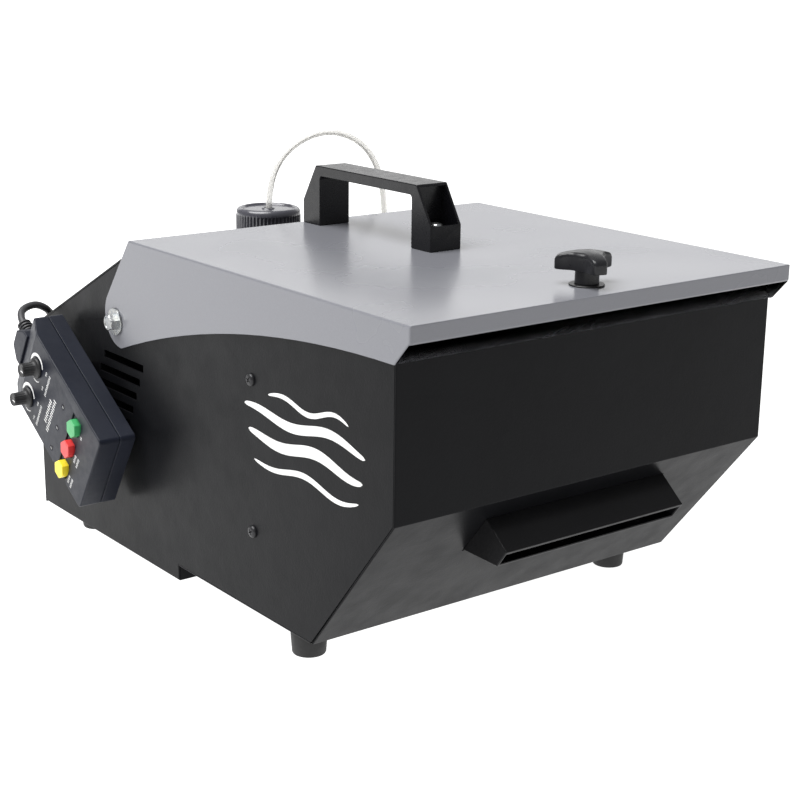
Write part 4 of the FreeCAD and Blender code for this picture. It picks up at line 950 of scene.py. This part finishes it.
def rounded_rod(start, end, radius, steps=12):
    along = Vector(end) - Vector(start)
    cap = [(0.01, 0.0), (radius * 0.7, radius * 0.3), (radius, radius)]
    profile = cap + [(across, along.length - up) for across, up in reversed(cap)]
    return turned(profile, steps, axis=standing(*start, along))


def make_ice_rack():
    """A grid of long rods on three cross rods, which stands on four legs."""
    shape = bmesh.new()
    half = 134.0
    front = 80.0
    rear = 252.0
    chamber_floor = 26.1
    rod = 1.5
    height = 52.0 + rod
    spacing = half / 4
    for step in range(9):
        x = -half + step * spacing
        add_shape(shape, rounded_rod((x, front, height), (x, rear, height), rod))
    for y in (front + rod, (front + rear) / 2 + rod, rear - rod):
        add_shape(shape, rounded_rod((-half - rod, y, height), (half + rod, y, height), rod))
    for side in (-1, 1):
        for y in (front + 24.0 + rod, rear - 10.0 + rod):
            x = side * (half - spacing)
            add_shape(shape, rounded_rod((x, y, chamber_floor), (x, y, height), rod))
    settle(shape, CASING, "fine_ice_rack", "ice_rack")


# ---------------------------------------------------------------- remote control

REMOTE_FACE = 26.5
REMOTE_SEAM = 11.0
BUTTON_X = -30.0
BUTTON_FIRST_Y = -15.0
BUTTON_PITCH = 20.0
LAMP_X = -10.0
DIALS = (("interval_dial", 32.5, -11.0), ("duration_dial", 33.0, 18.0))
# Print sinks a little into its surface and stands a little above it.
PRINT_LOW = REMOTE_FACE - 0.02
PRINT_HIGH = REMOTE_FACE + 0.05
GLAND_START = 75.0
REMOTE_SCREW_X = 50.0
REMOTE_SCREW_Y = 25.0
REMOTE_SCREW_SEAT = 1.4


def make_dial(node, x, y):
    """A dial knob: a wide collar and a slim fluted grip with a pointer line on its end."""
    gap = 0.3
    place = REMOTE @ Matrix.Translation((x, y, REMOTE_FACE + gap))
    flutes = 18
    flute_low = 3.6
    flute_high = 10.6
    flute_depth = 0.22

    def fluted(across, angle, up):
        if not flute_low < up < flute_high or across < 4.2:
            return across
        return across - flute_depth * (1 + math.cos(flutes * angle)) / 2

    profile = [(0.01, -9.5), (3.0, -9.5), (3.0, 0.0), (7.0, 0.0), (7.4, 0.3), (7.4, 1.2),
               (7.1, 1.7), (6.2, 2.0), (5.3, 2.5), (4.9, 3.3), (4.8, 4.4), (4.7, 8.0), (4.6, 10.5),
               (4.6, 11.4), (4.3, 11.9), (3.8, 12.0), (3.5, 11.8), (0.01, 11.8)]
    settle(turned(profile, 144, fluted), place, "fine_" + node, node)
    pointer_turn = Matrix.Rotation(math.radians(200.0), 4, "Z")
    line = extruded([(0.6, -0.3), (4.2, -0.3), (4.2, 0.3), (0.6, 0.3)], 11.6, 12.0)
    settle(line, place @ pointer_turn, node + "_line", node, "white_print", instead=False)


def printed_arc(shape, x, y, inner, start, sweep, width):
    """Add a printed arc whose breadth at each share of its sweep is given by width(share)."""
    steps = 40
    rings = []
    for step in range(steps + 1):
        share = step / steps
        angle = math.radians(start + sweep * share)
        outer = inner + width(share)
        rings.append([Vector((x + reach * math.cos(angle), y + reach * math.sin(angle), z))
                      for reach, z in ((inner, PRINT_LOW), (outer, PRINT_LOW), (outer, PRINT_HIGH),
                                       (inner, PRINT_HIGH))])
    add_shape(shape, join_rings(bmesh.new(), rings))


def make_scale(node, x, y):
    """The printed scale round a dial: a thick crescent on one side and a thin arc on the other."""
    def crescent(share):
        return 0.5 + 1.7 * math.sin(math.pi * (0.12 + 0.8 * share))

    def thin_arc(share):
        return 0.35 + 0.5 * math.sin(math.pi * share)

    shape = bmesh.new()
    printed_arc(shape, x, y, inner=8.5, start=28.0, sweep=-172.0, width=crescent)
    printed_arc(shape, x, y, inner=9.6, start=78.0, sweep=60.0, width=thin_arc)
    settle(shape, REMOTE, node + "_scale", "remote_front_shell", "white_print", instead=False)


def bar(shape, x, y, length, width):
    """Add a printed bar, centred on a place on the remote's face."""
    along = length / 2
    across = width / 2
    outline = [(-along, -across), (along, -across), (along, across), (-along, across)]
    add_shape(shape, extruded(outline, PRINT_LOW, PRINT_HIGH), Matrix.Translation((x, y, 0.0)))


def tick_row(shape, x, y, count, height, pitch):
    """Add a row of ticks across the remote, centred on a place. Every third tick is longer."""
    for step in range(count):
        length = height if step % 3 else height * 1.25
        bar(shape, x, y + (step - (count - 1) / 2) * pitch, length, width=0.36 * pitch)


def make_remote_print():
    """Plain tick marks beside the dials and buttons, and two rows of bold ones in the middle."""
    shape = bmesh.new()
    for _, x, y in DIALS:
        tick_row(shape, x - 13.2, y - 6.4, count=3, height=1.5, pitch=1.2)
        tick_row(shape, x - 13.0, y + 7.2, count=3, height=1.5, pitch=1.2)
        tick_row(shape, x - 18.2, y + 0.2, count=13, height=2.0, pitch=1.45)
    tick_row(shape, 5.6, 4.5, count=10, height=3.0, pitch=2.15)
    tick_row(shape, 0.6, 4.5, count=14, height=3.0, pitch=2.15)
    for step in range(3):
        y = BUTTON_FIRST_Y + BUTTON_PITCH * step
        tick_row(shape, BUTTON_X - 9.8, y + 0.4, count=5 if step else 2, height=1.9, pitch=1.4)
        if step:
            tick_row(shape, BUTTON_X - 14.0, y + 0.4, count=6, height=1.9, pitch=1.4)
    settle(shape, REMOTE, "remote_print", "remote_front_shell", "white_print", instead=False)


def make_status_lamps():
    shape = bmesh.new()
    for step in range(3):
        lamp = turned([(0.01, 22.9), (1.9, 22.9), (1.9, 23.3), (1.5, 23.4), (1.5, 26.1), (1.4, 26.4),
                       (1.1, 26.6), (0.6, 26.75), (0.01, 26.8)], 32)
        add_shape(shape, lamp, Matrix.Translation((LAMP_X, BUTTON_FIRST_Y + BUTTON_PITCH * step, 0.0)))
    settle(shape, REMOTE, "fine_status_lamps", "status_lamps")


def make_gland():
    """The ribbed strain relief, which narrows along the cable."""
    ribs = 4
    rib_pitch = 2.8
    edge = 0.3
    profile = [(2.75, -6.0), (4.5, -6.0), (4.5, 0.05), (4.4, 0.3), (4.2, 1.2)]
    for step in range(ribs):
        low = 1.4 + rib_pitch * step
        reach = 5.6 - 0.2 * step
        groove = 4.1 - 0.1 * step
        profile += [(reach - edge, low), (reach, low + edge), (reach, low + 1.1), (reach - edge, low + 1.5)]
        if step < ribs - 1:
            profile += [(groove, low + 1.6), (groove, low + 2.7)]
    profile += [(3.6, 11.35), (3.2, 11.5), (2.75, 11.4)]
    along = REMOTE @ standing(GLAND_START, 0.0, REMOTE_SEAM, (1, 0, 0))
    settle(turned(profile, 48, closed=True), along, "fine_remote_gland", "remote_gland")


def make_remote_screws():
    shape = bmesh.new()
    for x in (-REMOTE_SCREW_X, REMOTE_SCREW_X):
        for y in (-REMOTE_SCREW_Y, REMOTE_SCREW_Y):
            screw = pan_screw(head=2.6, height=1.35, shank=1.3, length=8.6)
            add_shape(shape, screw, standing(x, y, REMOTE_SCREW_SEAT, (0, 0, -1)))
    settle(shape, REMOTE, "fine_remote_screws", "remote_screws")


# ---------------------------------------------------------------- side graphic

# Each fog line as (height, how much shorter it is than the longest, thickness).
FOG_LINES = ((163.0, 26.0, 3.2), (151.0, 0.0, 6.0), (136.0, 4.0, 7.0), (120.0, 10.0, 3.6))


def make_fog_graphic():
    """Drifting fog lines, printed on the left panel."""
    shape = bmesh.new()
    front = 40.0
    rear = 162.0
    sunk = -BODY_HALF + 0.02
    raised = -BODY_HALF - 0.06
    steps = 64
    for row, (z, inset, weight) in enumerate(FOG_LINES):
        rings = []
        for step in range(steps + 1):
            share = step / steps
            y = rear - inset + (front + inset * 0.6 - rear + inset) * share
            wave = 3.6 * math.sin(share * 2 * math.pi * 1.5 + row * 1.1) * (0.5 + 0.5 * share)
            half = weight / 2 * math.sin(math.pi * share) ** 0.35 + 0.05
            rings.append([Vector((x, y, z + wave + up)) for x, up in
                          ((sunk, half), (raised, half), (raised, -half), (sunk, -half))])
        add_shape(shape, join_rings(bmesh.new(), rings))
    settle(shape, CASING, "fog_graphic", "left_side_panel", "white_print", instead=False)


# ---------------------------------------------------------------- putting it together

# Each node that keeps the CAD's own shape, with the radius in millimetres of its rounded edges.
EDGE_RADII = {
    "left_side_panel": 0.5, "right_side_panel": 0.5, "front_panel": 0.9, "outlet_duct": 0.7,
    "front_floor": 0.4, "base_pan": 0.9, "rear_panel": 0.5, "rear_cover": 0.9, "ice_chamber": 0.8,
    "drain_bush": 0.3, "drain_plug": 0.8, "lid": 1.1, "lid_gasket": 0.4, "lid_handle": 0.7,
    "threaded_insert": 0.3, "fluid_tank": 1.2, "tank_strap": 0.4, "heater_block": 0.8, "heater_cover": 0.6,
    "thermostat": 0.5, "pump": 0.8, "pump_bracket": 0.4, "control_board": 0.2, "power_inlet": 0.5,
    "switch_frame": 0.5, "power_rocker": 0.5, "fuse_holder": 0.4, "fuse_cap": 0.6, "remote_socket": 0.4,
    "remote_plug": 0.5, "transformer": 0.6, "remote_holder": 0.4, "remote_back_shell": 0.35,
    "remote_front_shell": 0.9, "remote_board": 0.2, "green_button": 0.6, "red_button": 0.6,
    "yellow_button": 0.6, "heater_posts": 0.4, "fog_pipe": 0.3, "pickup_tube": 0.2,
}
for node, solid in frame["nodes"].items():
    solid.data.materials.clear()
    solid.data.materials.append(FINISHES[NODE_SLOTS[node]].material)
fine = {node: softened(node, radius) for node, radius in EDGE_RADII.items()}
make_remote_cable()
make_fluid_tube()
make_panel_screws()
make_hinge_fasteners()
make_feet()
make_lid_knob()
make_knob_stud()
make_knob_washer()
make_handle_fasteners()
make_tank_cap()
make_grommet()
make_ice_rack()
for dial_node, dial_x, dial_y in DIALS:
    make_dial(dial_node, dial_x, dial_y)
    make_scale(dial_node, dial_x, dial_y)
make_remote_print()
make_status_lamps()
make_gland()
make_remote_screws()
make_fog_graphic()
